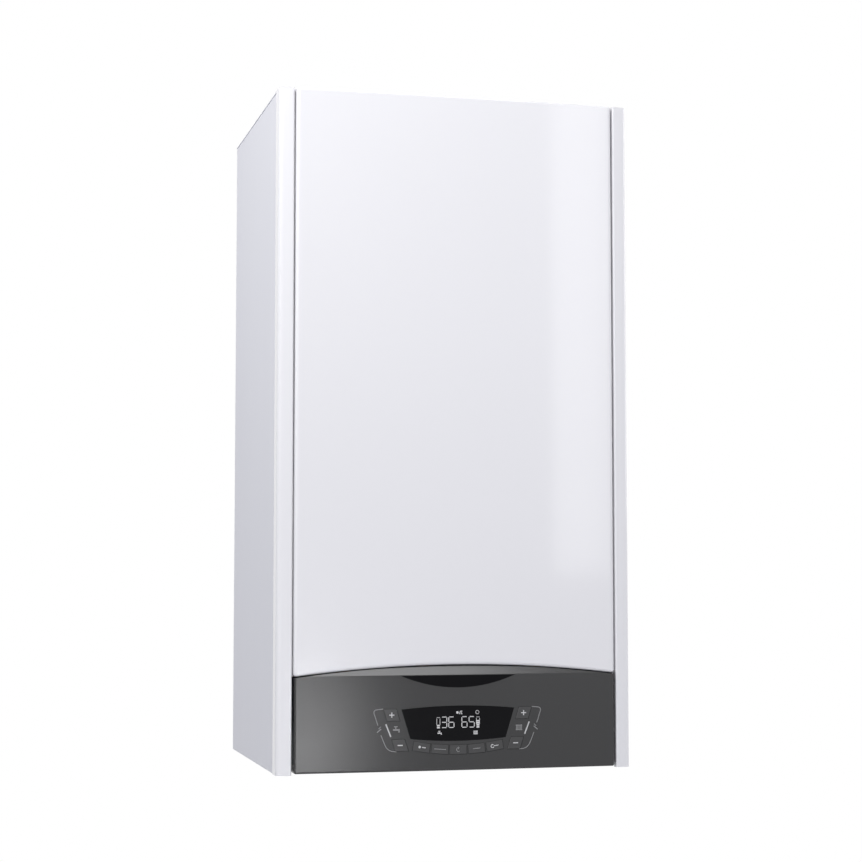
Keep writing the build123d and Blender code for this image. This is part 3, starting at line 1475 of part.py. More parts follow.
with BuildPart() as gas_valve:
    valve_middle = valve_bottom + valve_height / 2
    with BuildSketch(facing(valve_y + valve_depth / 2, 0, valve_middle)):
        RectangleRounded(valve_width, valve_height - valve_neck, box_corner)
    extrude(amount=valve_depth)
    boss(0, valve_y, gas_pipe_radius + box_corner, valve_bottom, valve_bottom + valve_neck)
    boss(0, valve_y, gas_tube_radius + box_corner, valve_top - valve_neck, valve_top)
    # two solenoids in front and the pressure test points
    with BuildSketch(facing(valve_y - valve_depth / 2, 0, valve_middle + solenoid_rise)):
        with GridLocations(solenoid_pitch, 0, 2, 1):
            Circle(solenoid_radius)
    extrude(amount=solenoid_length)
    with BuildSketch(facing(valve_y - valve_depth / 2, 0, valve_middle - test_point_drop)):
        with GridLocations(test_point_pitch, 0, 2, 1):
            Circle(test_point_radius)
    extrude(amount=test_point_length)
gas_valve.part.label = "gas_valve"
export_step(gas_valve.part, "parts/gas_valve.step")

with BuildPart() as condensate_trap:
    with BuildSketch(level(plate_top, trap_x, trap_y)):
        Circle(trap_radius)
    extrude(amount=trap_top - plate_top)
    chamfer(condensate_trap.faces().sort_by(Axis.Z)[-1].edges(), bend_radius)
    # collar of the screwed cup
    with BuildSketch(level(plate_top + trap_collar_height, trap_x, trap_y)):
        Circle(trap_radius + trap_collar[0])
    extrude(amount=trap_collar[1])
    with BuildSketch(level(drain_bottom, trap_x, trap_y)):
        Circle(hose_radius)
    extrude(amount=plate_top - drain_bottom)
condensate_trap.part.label = "condensate_trap"
export_step(condensate_trap.part, "parts/condensate_trap.step")


def run_pipe(radius, bend, points):
    """Pipe or hose of the open part, in straight runs joined by tangent bends."""
    with BuildLine() as route:
        FilletPolyline(*[(x, y, z_at(height)) for x, y, height in points], radius=bend)
    with BuildSketch(Plane(route.line @ 0, z_dir=route.line % 0)) as section:
        Circle(radius)
    sweep(section.sketch, path=route.line)


pipes = {
    "gas_inlet_pipe": (gas_pipe_radius, 28, heating_thread_radius, [
        (0, pipe_row_y, block_bottom),
        (0, pipe_row_y, block_bottom + gas_inlet_rise),
        (0, valve_y, valve_bottom - gas_inlet_end),
        (0, valve_y, valve_bottom),
    ]),
    "gas_tube": (gas_tube_radius, 20, gas_tube_radius + nipple_wall, [
        (0, valve_y, valve_top),
        (0, valve_y, chamber_bottom + gas_tube_rise),
        (fan_x, venturi_middle, chamber_bottom + gas_tube_rise + pipe_fall),
        (fan_x, venturi_middle, venturi_foot),
    ]),
    "flow_pipe": (water_pipe_radius, 40, water_pipe_radius + boss_wall, [
        (flow_boss_x, pipe_row_y, flow_boss_top),
        (flow_boss_x, pipe_row_y, flow_boss_top + flow_rise),
        (cell_x - pipe_stub_offset, stub_y, flow_boss_top + 2 * flow_rise),
        (cell_x - pipe_stub_offset, stub_y, stub_bottom),
    ]),
    "return_pipe": (water_pipe_radius, 26, water_pipe_radius + boss_wall, [
        (pump_outlet_x, pipe_row_y, pump_outlet_top),
        (pump_outlet_x, pipe_row_y, chamber_bottom - pipe_dip),
        (cell_x + pipe_stub_offset, stub_y, chamber_bottom - pipe_dip + pipe_fall),
        (cell_x + pipe_stub_offset, stub_y, stub_bottom),
    ]),
    "condensate_hose": (hose_radius, 26, hose_radius + 2, [
        (cell_x, drain_y, stub_bottom),
        (cell_x, drain_y, chamber_bottom - pipe_dip),
        (trap_x, trap_y, trap_top + trap_loop),
        (trap_x, trap_y, trap_top),
    ]),
}
for name, (radius, bend, nut_radius, points) in pipes.items():
    foot_x, foot_y, foot_height = min(points, key=lambda point: point[2])
    with BuildPart() as pipe:
        run_pipe(radius, bend, points)
        boss(foot_x, foot_y, nut_radius, foot_height, foot_height + nut_length)
    pipe.part.label = name
    export_step(pipe.part, f"parts/{name}.step")


def nipple(x, thread):
    """Union below the bottom plate: thread, hexagon and the neck that seats in its block."""
    boss(x, pipe_row_y, thread, nipple_bottom, block_bottom)
    with BuildSketch(level(plate_height - hexagon_drop, x, pipe_row_y)) as hexagon:
        RegularPolygon(thread + nipple_wall, 6)
    extrude(hexagon.sketch, amount=hexagon_height)
    with BuildSketch(level(nipple_bottom, x, pipe_row_y)) as bore:
        Circle(thread - nipple_wall)
    extrude(bore.sketch, amount=block_bottom - nipple_bottom, mode=Mode.SUBTRACT)


with BuildPart() as heating_nipples:
    for x in (flow_x, 0, return_x):
        nipple(x, heating_thread_radius)
heating_nipples.part.label = "heating_nipples"
export_step(heating_nipples.part, "parts/heating_nipples.step")

with BuildPart() as water_nipples:
    for x in (hot_x, cold_x):
        nipple(x, water_thread_radius)
water_nipples.part.label = "water_nipples"
export_step(water_nipples.part, "parts/water_nipples.step")
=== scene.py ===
import json

import bpy
import numpy as np
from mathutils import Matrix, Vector


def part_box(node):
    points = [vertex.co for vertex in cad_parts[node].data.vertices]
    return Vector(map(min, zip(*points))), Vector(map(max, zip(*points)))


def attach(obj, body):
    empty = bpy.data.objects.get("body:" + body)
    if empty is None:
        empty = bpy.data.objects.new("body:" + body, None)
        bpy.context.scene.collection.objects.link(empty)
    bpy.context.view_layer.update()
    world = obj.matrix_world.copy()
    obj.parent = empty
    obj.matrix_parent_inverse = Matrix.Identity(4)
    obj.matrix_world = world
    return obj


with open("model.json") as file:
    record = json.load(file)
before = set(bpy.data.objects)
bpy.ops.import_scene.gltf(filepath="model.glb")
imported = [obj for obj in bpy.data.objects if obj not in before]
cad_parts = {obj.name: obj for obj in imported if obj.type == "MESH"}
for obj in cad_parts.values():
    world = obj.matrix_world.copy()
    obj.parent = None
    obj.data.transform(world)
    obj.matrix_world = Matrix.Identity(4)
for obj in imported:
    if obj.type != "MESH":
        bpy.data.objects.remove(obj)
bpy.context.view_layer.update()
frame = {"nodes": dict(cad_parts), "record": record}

# Wall-hung combi boiler: finishes, the display's and keypad's markings, and the studio.
# Metres; the wall is y = 0, the front faces -Y, z = 0 is the line of the wall bracket's bolts.

nodes = frame["nodes"]
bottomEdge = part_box("left_trim")[0].z     # the casing's lower edge
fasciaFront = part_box("control_fascia")[0].y
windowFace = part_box("display_window")[0].y
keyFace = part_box("auto_key")[0].y
crown = {"half": 0.1815, "rise": 0.003}   # the front bows out this far over its half width
crownRadius = (crown["half"] ** 2 + crown["rise"] ** 2) / (2 * crown["rise"])


def crownY(front, x):  # the middle's y, plus the radius, less the root of radius squared less x squared
    return front + crownRadius - np.sqrt(crownRadius ** 2 - np.asarray(x) ** 2)


def addObject(name, data):
    made = bpy.data.objects.new(name, data)
    bpy.context.scene.collection.objects.link(made)
    return made


class Signal:  # an output socket; arithmetic on it adds Math nodes
    def __init__(self, graph, socket):
        self.graph = graph
        self.socket = socket

    def maths(self, operation, *terms):
        return self.graph.node("Math", {"operation": operation}, dict(enumerate(terms)))

    def __add__(self, term):
        return self.maths("ADD", self, term)

    def __radd__(self, term):
        return self.maths("ADD", term, self)

    def __mul__(self, term):
        return self.maths("MULTIPLY", self, term)

    def __rmul__(self, term):
        return self.maths("MULTIPLY", term, self)


class Graph:  # the nodes of a material or of the world
    def __init__(self, tree):
        self.tree = tree

    def node(self, kind, settings=None, inputs=None, output=0):
        made = self.tree.nodes.new("ShaderNode" + kind)
        for name, value in (settings or {}).items():
            setattr(made, name, value)
        for name, value in (inputs or {}).items():
            self.feed(made.inputs[name], value)
        return Signal(self, made.outputs[output])

    def feed(self, socket, value):
        if isinstance(value, Signal):
            self.tree.links.new(value.socket, socket)
        else:
            socket.default_value = value

    def blend(self, factor, low, high):
        return self.node("Mix", {"data_type": "RGBA"}, {"Factor": factor, 6: low, 7: high}, 2)

    def whiteRays(self):  # 1 for the rays that see the plain white background, 0 for those that light
        camera, through, glossy = (self.node("LightPath", output="Is " + kind + " Ray")
                                   for kind in ("Camera", "Transmission", "Glossy"))
        return camera.maths("MAXIMUM", camera.maths("MAXIMUM", camera, through), glossy)


class Finish(Graph):  # a material on the Principled shader
    def __init__(self, name, **constants):
        self.material = bpy.data.materials.new(name)
        self.material.use_nodes = True
        super().__init__(self.material.node_tree)
        self.shader = self.tree.nodes["Principled BSDF"]
        self.surface(**constants)

    def place(self, stretch=(1, 1, 1)):  # the surface's own coordinates, in metres
        where = self.node("TexCoord", output="Object")
        return self.node("Mapping", {"vector_type": "POINT"}, {"Vector": where, "Scale": stretch})

    def noise(self, scale, detail, stretch=(1, 1, 1)):  # scale in waves per metre
        return self.node("TexNoise", None, {
            "Vector": self.place(stretch), "Scale": scale, "Detail": detail}, "Fac")

    def ramp(self, factor, low, high):  # 0 below low, 1 above high
        return self.node("MapRange", {"interpolation_type": "SMOOTHSTEP"},
                         {"Value": factor, "From Min": low, "From Max": high})

    def bump(self, height, depth):  # depth in metres for a height of 0 to 1
        normal = self.node("Bump", None, {"Height": height, "Distance": depth})
        self.feed(self.shader.inputs["Normal"], normal)

    def surface(self, **signals):
        for socket, signal in signals.items():
            self.feed(self.shader.inputs[socket.replace("_", " ")], signal)


def shade(colour, factor):
    return tuple(min(part * factor, 1.0) for part in colour) + (1.0,)


# In the dictionaries of the finishes, scales are in waves per metre, depths in metres, tones are
# factors on the colour, and a pattern's roughness is what it adds where it is strongest.
enamel = {
    "colour": (0.862, 0.858, 0.872),
    "roughness": 0.22,
    "coat": 0.4, "coatRoughness": 0.07, "coatIor": 1.5, "specular": 0.2,
    "cloudScale": 7.0, "cloudTone": 0.99, "cloudRoughness": 0.04, "cloudCoat": 0.1,
    "peelScale": 420.0, "peelDepth": 0.000006,     # the lacquer's orange peel
}


def makeEnamel(name, tone=1.0, **changes):  # sprayed and stoved gloss lacquer on sheet steel
    values = {**enamel, **changes}
    paint = Finish(name, Coat_Roughness=values["coatRoughness"], Coat_IOR=values["coatIor"],
                   Specular_IOR_Level=values["specular"])
    cloud = paint.noise(values["cloudScale"], detail=3.0)
    paint.surface(
        Base_Color=paint.blend(cloud, shade(values["colour"], tone * values["cloudTone"]),
                               shade(values["colour"], tone)),
        Roughness=values["roughness"] + values["cloudRoughness"] * cloud,
        Coat_Weight=values["coat"] + values["cloudCoat"] * cloud,
    )
    paint.bump(paint.noise(values["peelScale"], detail=1.0), values["peelDepth"])
    return paint.material


zinc = {
    "colour": (0.60, 0.62, 0.63), "tones": (0.86, 1.08), "metallic": 0.8,
    "spangleScale": 90.0, "spangleShare": 0.6,     # crystals per metre, and their share in the tone
    "smearScale": 30.0, "smearShare": 0.4,
    "roughness": 0.45, "spangleRoughness": 0.16, "depth": 0.00002,
}


def makeZinc(name, tone=1.0):  # hot-dip zinc coat: crystals of slightly different brightness
    coat = Finish(name, Metallic=zinc["metallic"])
    crystals = coat.node("TexVoronoi", {"feature": "F1"},
                         {"Vector": coat.place(), "Scale": zinc["spangleScale"]}, "Color")
    grey = coat.node("RGBToBW", None, {"Color": crystals})
    smear = coat.noise(zinc["smearScale"], detail=3.0)
    low, high = (shade(zinc["colour"], limit * tone) for limit in zinc["tones"])
    coat.surface(
        Base_Color=coat.blend(grey * zinc["spangleShare"] + smear * zinc["smearShare"], low, high),
        Roughness=zinc["roughness"] + zinc["spangleRoughness"] * grey,
    )
    coat.bump(grey, zinc["depth"])
    return coat.material


drawn = {
    "streakScale": 260.0, "streakRoughness": 0.12, "streakDepth": 0.00001,
    "stainScale": 24.0, "stainRoughness": 0.1, "stainTone": 0.76,
}


def makeDrawn(name, colour, roughness, along=(1, 1, 1)):  # drawn or machined metal
    metal = Finish(name, Metallic=1.0)
    streak = metal.noise(drawn["streakScale"], detail=3.0, stretch=along)
    stain = metal.noise(drawn["stainScale"], detail=4.0)
    metal.surface(
        Base_Color=metal.blend(stain, shade(colour, 1.0), shade(colour, drawn["stainTone"])),
        Roughness=roughness + drawn["streakRoughness"] * streak + drawn["stainRoughness"] * stain,
    )
    metal.bump(streak, drawn["streakDepth"])
    return metal.material


cast = {
    "tones": (0.9, 1.08), "grainScale": 600.0, "grainRoughness": 0.12, "grainShare": 0.7,
    "flowScale": 35.0, "flowShare": 0.3, "depth": 0.00008,
}


def makeCast(name, colour, roughness=0.5, metallic=1.0):  # die cast or sand cast skin
    metal = Finish(name, Metallic=metallic)
    grain = metal.noise(cast["grainScale"], detail=3.0)
    flow = metal.noise(cast["flowScale"], detail=3.0)
    low, high = (shade(colour, limit) for limit in cast["tones"])
    metal.surface(
        Base_Color=metal.blend(flow, low, high),
        Roughness=roughness + cast["grainRoughness"] * grain,
    )
    metal.bump(grain * cast["grainShare"] + flow * cast["flowShare"], cast["depth"])
    return metal.material


plastic = {
    "tones": (0.95, 1.05), "grainScale": 900.0, "grainRoughness": 0.06, "grainDepth": 0.00002,
    "broadScale": 14.0, "broadRoughness": 0.04,
}


def makePlastic(name, colour, roughness, **changes):  # moulded in an eroded, finely grained tool
    values = {**plastic, **changes}
    moulding = Finish(name)
    grain = moulding.noise(values["grainScale"], detail=2.0)
    broad = moulding.noise(values["broadScale"], detail=2.0)
    low, high = (shade(colour, limit) for limit in values["tones"])
    moulding.surface(
        Base_Color=moulding.blend(broad, low, high),
        Roughness=roughness + values["grainRoughness"] * grain + values["broadRoughness"] * broad,
    )
    moulding.bump(grain, values["grainDepth"])
    return moulding.material


board = {
    "tones": (0.8, 1.5), "coat": 0.3, "roughness": 0.35, "dirtRoughness": 0.2, "dirtScale": 60.0,
    "trackScale": 90.0, "trackShift": 0.37, "trackGap": 0.12, "trackSoftness": 0.1,
}


def makeBoard(name, colour):  # circuit board: solder mask with copper tracks under it
    card = Finish(name, Coat_Weight=board["coat"])
    tracks = card.node("TexBrick", {"offset": board["trackShift"]}, {
        "Vector": card.place(), "Scale": board["trackScale"],
        "Mortar Size": board["trackGap"], "Mortar Smooth": board["trackSoftness"]}, "Fac")
    dirt = card.noise(board["dirtScale"], detail=3.0)
    low, high = (shade(colour, limit) for limit in board["tones"])
    card.surface(
        Base_Color=card.blend(tracks, low, high),
        Roughness=board["roughness"] + board["dirtRoughness"] * dirt,
    )
    return card.material


satin = {
    "colour": (0.050, 0.050, 0.051), "keys": (0.066, 0.066, 0.067), "tones": (0.88, 1.12),
    "metallic": 0.4, "specular": 0.35, "roughness": 0.20,
    "flakeScale": 2600.0, "flakeDepth": 0.000004, "broadScale": 11.0, "broadRoughness": 0.04,
}


def makeSatin(name, colour):  # satin metallic lacquer on a moulding
    lacquer = Finish(name, Metallic=satin["metallic"], Specular_IOR_Level=satin["specular"])
    flake = lacquer.noise(satin["flakeScale"], detail=1.0)
    broad = lacquer.noise(satin["broadScale"], detail=2.0)
    low, high = (shade(colour, limit) for limit in satin["tones"])
    lacquer.surface(
        Base_Color=lacquer.blend(flake, low, high),
        Roughness=satin["roughness"] + satin["broadRoughness"] * broad,
    )
    lacquer.bump(flake, satin["flakeDepth"])
    return lacquer.material


window = {
    "clear": (0.004, 0.004, 0.005, 1), "hazy": (0.006, 0.006, 0.007, 1),
    "roughness": 0.16, "hazeRoughness": 0.05, "hazeScale": 40.0,
}


def makeWindow(name, gloss):  # black back-printed acrylic with an anti-glare face
    glass = Finish(name, Specular_IOR_Level=gloss)
    haze = glass.noise(window["hazeScale"], detail=2.0)
    glass.surface(
        Base_Color=glass.blend(haze, window["clear"], window["hazy"]),
        Roughness=window["roughness"] + window["hazeRoughness"] * haze,
    )
    return glass.material


inks = {
    "segments": ((0.60, 0.60, 0.60), 0.16),    # colour and glow: the display's segments and symbols
    "light": ((0.56, 0.56, 0.56), 0.04),       # signs and scales in light ink, with a faint glow that is painted brightness, as the print is no lamp
    "faint": ((0.24, 0.24, 0.24), 0.0),        # brackets, and symbols in faint ink
    "roughness": 0.5, "grainScale": 1500.0, "thinTone": 0.93,
}


def makeInk(name, colour, glow):  # lit segments and printed marks; on printed marks the glow is painted brightness
    mark = Finish(name, Emission_Strength=glow, Roughness=inks["roughness"])
    grain = mark.noise(inks["grainScale"], detail=1.0)
    tint = mark.blend(grain, shade(colour, inks["thinTone"]), shade(colour, 1.0))
    mark.surface(Base_Color=tint, Emission_Color=tint)
    return mark.material


finishes = {
    "casing_white": makeEnamel("stovedWhite"),
    "trim_white": makeEnamel("trimWhite"),
    # the sides' semi-gloss paint is darker (tone 0.9) and bluer than the front's, which is painted shade of
    # the sides
    "side_white": makeEnamel("sideWhitePaintedShade", 0.9, coat=0.05, colour=(0.853, 0.858, 0.9), roughness=0.5),
    "chassis_steel": makeZinc("zincSheet"),
    "screw_steel": makeDrawn("zincScrews", (0.66, 0.66, 0.64), 0.3),
    "flue_cast": makeCast("flueCast", (0.72, 0.72, 0.73), 0.42),
    "fascia_grey": makeSatin("fasciaSatin", satin["colour"]),
    "key_grey": makeSatin("keySatin", satin["keys"]),
    "display_black": makeWindow("displayBlack", 0.08),
    "badge_black": makeWindow("badgeBlack", 0.06),
    "box_plastic": makePlastic("boxPlastic", (0.045, 0.045, 0.048), 0.5),
    "board_green": makeBoard("boardGreen", (0.02, 0.12, 0.05)),
    "chamber_white": makeZinc("chamberSheet", 1.05),
    "cell_steel": makeDrawn("cellSteel", (0.62, 0.61, 0.60), 0.28),
    "cast_aluminium": makeCast("castAluminium", (0.66, 0.66, 0.67)),
    "ceramic": makePlastic("ceramic", (0.80, 0.77, 0.70), 0.6),
    "black_plastic": makePlastic("blackPlastic", (0.025, 0.025, 0.027), 0.42),
    "vessel_paint": makeEnamel("vesselPaint"),
    "brass": makeDrawn("pressedBrass", (0.72, 0.52, 0.24), 0.32),
    "plate_steel": makeDrawn("brazedPlates", (0.64, 0.60, 0.55), 0.34, (1, 6, 1)),
    "motor_grey": makePlastic("motorGrey", (0.42, 0.43, 0.45), 0.45),
    "pump_cast": makeCast("pumpCast", (0.035, 0.035, 0.038), 0.55, 0.2),
    "copper": makeDrawn("drawnCopper", (0.80, 0.42, 0.28), 0.26),
    "knob_red": makePlastic("knobRed", (0.55, 0.02, 0.02), 0.3),
    "knob_black": makePlastic("knobBlack", (0.03, 0.03, 0.033), 0.4),
    "trap_plastic": makePlastic("trapPlastic", (0.62, 0.63, 0.64), 0.4),
    "hose_rubber": makePlastic("hoseRubber", (0.10, 0.10, 0.105), 0.55,
                               grainScale=400.0, grainDepth=0.00005),
}
print("finishes made:", len(finishes))

for part in frame["record"]["subparts"]:
    node = nodes[part["node"]]
    node.data.materials.clear()
    node.data.materials.append(finishes[part["material_slot"]])
print("finishes on the CAD nodes:", len(nodes))


layer = {"thick": 0.00006, "sunk": 0.00002}   # a print's depth, and how much of it lies under the surface


def printOn(name, outlines, front, body, material):
    # Each outline is a closed polygon of (x, height over the lower edge). Its y is the bowed face's
    # y at its x: the back lies a little under that face, the front stands a little proud of it.
    points, faces = [], []
    for outline in outlines:
        ring = np.asarray(outline, float)
        area = np.sum(ring[:, 0] * np.roll(ring[:, 1], -1) - np.roll(ring[:, 0], -1) * ring[:, 1])
        if area < 0:
            ring = ring[::-1]
        count, start = len(ring), sum(len(p) for p in points)
        back = crownY(front, ring[:, 0]) + layer["sunk"]
        for y in (back - layer["thick"], back):
            points.append(np.stack([ring[:, 0], y, bottomEdge + ring[:, 1]], 1))
        near = start + np.arange(count)
        far = near + count
        faces += [near.tolist(), far[::-1].tolist()]
        faces += np.stack([near, far, np.roll(far, -1), np.roll(near, -1)], 1).tolist()
    mesh = bpy.data.meshes.new(name)
    mesh.from_pydata(np.concatenate(points).tolist(), [], faces)
    mesh.update()
    piece = addObject(name, mesh)
    mesh.materials.append(material)
    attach(piece, body)


def bar(start, end, wide):  # a straight stroke: each end moved half the width to both sides
    a, b = np.array(start, float), np.array(end, float)
    along = (b - a) / np.linalg.norm(b - a)
    side = np.array([-along[1], along[0]]) * wide / 2
    return [a + side, a - side, b - side, b + side]


def stroke(path, wide):  # the path moved half the width along its normal, out one side and back the other
    path = np.asarray(path, float)
    step = np.gradient(path, axis=0)
    side = np.stack([-step[:, 1], step[:, 0]], 1)
    side *= wide / 2 / np.linalg.norm(side, axis=1)[:, None]
    return np.concatenate([path + side, (path - side)[::-1]])


def bend(corners, radius, steps=6):
    # A path with rounded corners: from start to end of each, (1 - t) squared times start, plus
    # 2 t (1 - t) times the corner, plus t squared times end.
    corners = np.asarray(corners, float)
    out = [corners[0]]
    for before, corner, after in zip(corners[:-2], corners[1:-1], corners[2:]):
        start = corner + (before - corner) * radius / np.linalg.norm(before - corner)
        end = corner + (after - corner) * radius / np.linalg.norm(after - corner)
        t = np.linspace(0, 1, steps)[:, None]
        out.extend((1 - t) ** 2 * start + 2 * t * (1 - t) * corner + t ** 2 * end)
    out.append(corners[-1])
    return np.array(out)


def disc(centre, radius, steps=16):  # the centre plus the radius times the turn's cosine and sine
    turn = np.linspace(0, 2 * np.pi, steps, endpoint=False)
    return np.stack([centre[0] + radius * np.cos(turn), centre[1] + radius * np.sin(turn)], 1)


def drawing(strokes, middle, size):  # bars given as x, z, x, z and width, in sizes from the middle
    x, z = middle
    return [bar((x + a * size, z + b * size), (x + c * size, z + d * size), wide * size)
            for a, b, c, d, wide in strokes]


def mirrored(path, side):  # side is -1 for the left, which turns the x of each point round
    return np.asarray(path) * (side, 1)


segmentInk = makeInk("litSegments", *inks["segments"])
# the light ink glows faintly: painted brightness on print
lightInkPaintedGlow = makeInk("lightInkPaintedGlow", *inks["light"])
faintInk = makeInk("faintInk", *inks["faint"])

tap = [(-0.5, 0, 0.35, 0, 0.24), (0.35, 0.12, 0.35, -0.35, 0.2),      # body and spout
       (-0.1, 0, -0.1, 0.4, 0.14), (-0.35, 0.42, 0.15, 0.42, 0.13)]   # spindle and handle
radiator = [(column * 0.2, -0.42, column * 0.2, 0.42, 0.12) for column in range(-2, 3)]
radiator += [(-0.5, rail * 0.3, 0.5, rail * 0.3, 0.09) for rail in (-1, 1)]

# which of the seven segments are lit: top, upper left, upper right, middle, lower left, lower right, foot
digits = {
    "3": (1, 0, 1, 1, 0, 1, 1), "6": (1, 1, 0, 1, 1, 1, 1), "5": (1, 1, 0, 1, 0, 1, 1),
}
readout = {
    "lift": 0.00001,       # how far the readout stands in front of where other prints do
    "text": [("3", -0.0159), ("6", -0.0078), ("6", 0.0069), ("5", 0.0151)],
    "width": 0.0059, "foot": 0.0479, "height": 0.0114, "stroke": 0.0009,
    "gap": 0.62,           # from a segment's end to the corner, in strokes
    "gauges": [(-0.0224, 2), (0.0222, 4)],     # x, and how many cells are lit
    "tap": ((-0.0209, 0.0420), 0.0050), "radiator": ((0.0195, 0.0420), 0.0048),
    "dot": ((-0.0010, 0.0640), 0.0014),
    "slashes": [((0.0012, 0.0622), (0.0024, 0.0655), 0.0008), ((0.0028, 0.0655), (0.0044, 0.0655), 0.0007),
                ((0.0040, 0.0655), (0.0030, 0.0624), 0.0007), ((0.0028, 0.0624), (0.0046, 0.0624), 0.0007)],
    "ring": ((0.0215, 0.0640), 0.0019), "ringStroke": 0.0005,
}
gauge = {
    "foot": 0.0470, "top": 0.0588, "half": 0.0018, "line": 0.0005,
    "tubeFoot": 0.004, "tubeTop": 0.001,       # how far the sides stop above the foot and below the top
    "firstCell": 0.001, "cellPitch": 0.0022, "cell": 0.0017, "cellReach": 0.9,
}


def drawDigit(symbol, x):  # a bar for each lit segment of the numeral round x
    half, wide = readout["width"] / 2, readout["stroke"]
    low, mid = readout["foot"], readout["foot"] + readout["height"] / 2
    top = readout["foot"] + readout["height"]
    gap = wide * readout["gap"]
    ends = [
        ((x - half + gap, top), (x + half - gap, top)),
        ((x - half, top - gap), (x - half, mid + gap)),
        ((x + half, top - gap), (x + half, mid + gap)),
        ((x - half + gap, mid), (x + half - gap, mid)),
        ((x - half, mid - gap), (x - half, low + gap)),
        ((x + half, mid - gap), (x + half, low + gap)),
        ((x - half + gap, low), (x + half - gap, low)),
    ]
    return [bar(a, b, wide) for (a, b), on in zip(ends, digits[symbol]) if on]


def drawGauge(x, level):  # an open tube of two sides and a top, with lit cells from its foot up
    foot, top, half, line = (gauge[name] for name in ("foot", "top", "half", "line"))
    low, high, reach = foot + gauge["tubeFoot"], top - gauge["tubeTop"], half * gauge["cellReach"]
    marks = [bar((x - half, low), (x - half, high), line), bar((x + half, low), (x + half, high), line),
             bar((x - half, top), (x + half, top), line)]
    for cell in range(level):
        z = foot + gauge["firstCell"] + cell * gauge["cellPitch"]
        marks.append(bar((x - reach, z), (x + reach, z), gauge["cell"]))
    return marks


def makeReadout():
    marks = [piece for symbol, x in readout["text"] for piece in drawDigit(symbol, x)]
    for x, level in readout["gauges"]:
        marks += drawGauge(x, level)
    marks += drawing(tap, *readout["tap"]) + drawing(radiator, *readout["radiator"])
    marks += [disc(*readout["dot"])] + [bar(*slash) for slash in readout["slashes"]]
    ring = disc(*readout["ring"])
    marks += [stroke(np.concatenate([ring, ring[:1]]), readout["ringStroke"])]
    printOn("displayReadout", marks, windowFace - readout["lift"], "control_panel",
            segmentInk)


# Places on the keypad's right half, as x and height; the left half mirrors them.
keypad = {
    "plus": (0.0743, 0.0624), "minus": (0.0650, 0.0298), "arm": 0.0028, "stroke": 0.0011,
    "icon": (0.0690, 0.0465), "tapSize": 0.0080, "radiatorSize": 0.0074,
    "scale": [(0.0808, 0.0527), (0.0754, 0.0392)], "scaleStroke": 0.0014,
    "upperBracket": [(0.0838, 0.0690), (0.0950, 0.0680), (0.0895, 0.0515)], "upperRadius": 0.0045,
    "lowerBracket": [(0.0862, 0.0410), (0.0790, 0.0235), (0.0690, 0.0232)], "lowerRadius": 0.0075,
    "bracketStroke": 0.0009,
    "ticks": [((0.0905, 0.0440), (0.0860, 0.0478), 0.0011), ((0.0888, 0.0478), (0.0862, 0.0502), 0.0007)],
}


def makeKeypad():
    arm, wide = keypad["arm"], keypad["stroke"]
    for side, key, title in ((-1, "hot_water", "hotWater"), (1, "heating", "heating")):
        x, z = mirrored(keypad["plus"], side)
        cross = [bar((x - arm, z), (x + arm, z), wide), bar((x, z - arm), (x, z - wide / 2), wide),
                 bar((x, z + wide / 2), (x, z + arm), wide)]
        printOn(title + "PlusMark", cross, keyFace, key + "_plus_button", lightInkPaintedGlow)
        x, z = mirrored(keypad["minus"], side)
        printOn(title + "MinusMark", [bar((x - arm, z), (x + arm, z), wide)], keyFace,
                key + "_minus_button", lightInkPaintedGlow)
    scales = [bar(*mirrored(keypad["scale"], side), keypad["scaleStroke"]) for side in (-1, 1)]
    printOn("keypadScales", scales, fasciaFront, "control_panel", lightInkPaintedGlow)
    marks = drawing(tap, mirrored(keypad["icon"], -1), keypad["tapSize"])
    marks += drawing(radiator, keypad["icon"], keypad["radiatorSize"])
    for side in (-1, 1):
        marks += [stroke(bend(mirrored(keypad[end + "Bracket"], side), keypad[end + "Radius"]),
                         keypad["bracketStroke"]) for end in ("upper", "lower")]
        marks += [bar(*mirrored((start, end), side), tickWide) for start, end, tickWide in keypad["ticks"]]
    printOn("keypadMarks", marks, fasciaFront, "control_panel", faintInk)


row = {
    "pitch": 0.0206, "height": 0.0240, "radius": 0.260,    # the five keys stand on this arc
    "stroke": 0.0010, "thin": 0.0008, "middling": 0.0009,
}
symbols = {  # plain signs from left to right, round the middle of their key; part of a disc is an open ring
    "mode": [disc((-0.0022, 0), 0.0014), bar((0.0004, 0), (0.0046, 0), row["stroke"])],
    "comfort": [bar((-0.0066, 0), (0.0066, 0), row["thin"])],
    "auto": [stroke(disc((0, 0), 0.0021, 20)[3:18], row["thin"]),
             bar((0, 0.0006), (0, 0.0030), row["thin"])],
    "info": [bar((-0.0042, 0), (0.0042, 0), row["thin"])],
    "reset": [stroke(disc((-0.0026, 0), 0.0017, 20)[2:19], row["thin"]),
              bar((-0.0009, 0), (0.0042, 0), row["middling"])],
}


def makeRowMarks():
    # A key's x is its number from the middle times the pitch. Its height is the row's, plus the arc's
    # radius, less the root of radius squared less x squared, and its sign turns with the arc.
    for number, (name, shapes) in enumerate(symbols.items(), start=-2):
        x = number * row["pitch"]
        turn = np.arcsin(x / row["radius"])
        z = row["height"] + row["radius"] - np.sqrt(row["radius"] ** 2 - x ** 2)
        spin = np.array([[np.cos(turn), -np.sin(turn)], [np.sin(turn), np.cos(turn)]])
        turned = [np.asarray(shape) @ spin.T + np.array([x, z]) for shape in shapes]
        printOn(name + "Mark", turned, keyFace, name + "_button",
                lightInkPaintedGlow if name in ("mode", "reset") else faintInk)


makeReadout()
makeKeypad()
makeRowMarks()
print("markings made")


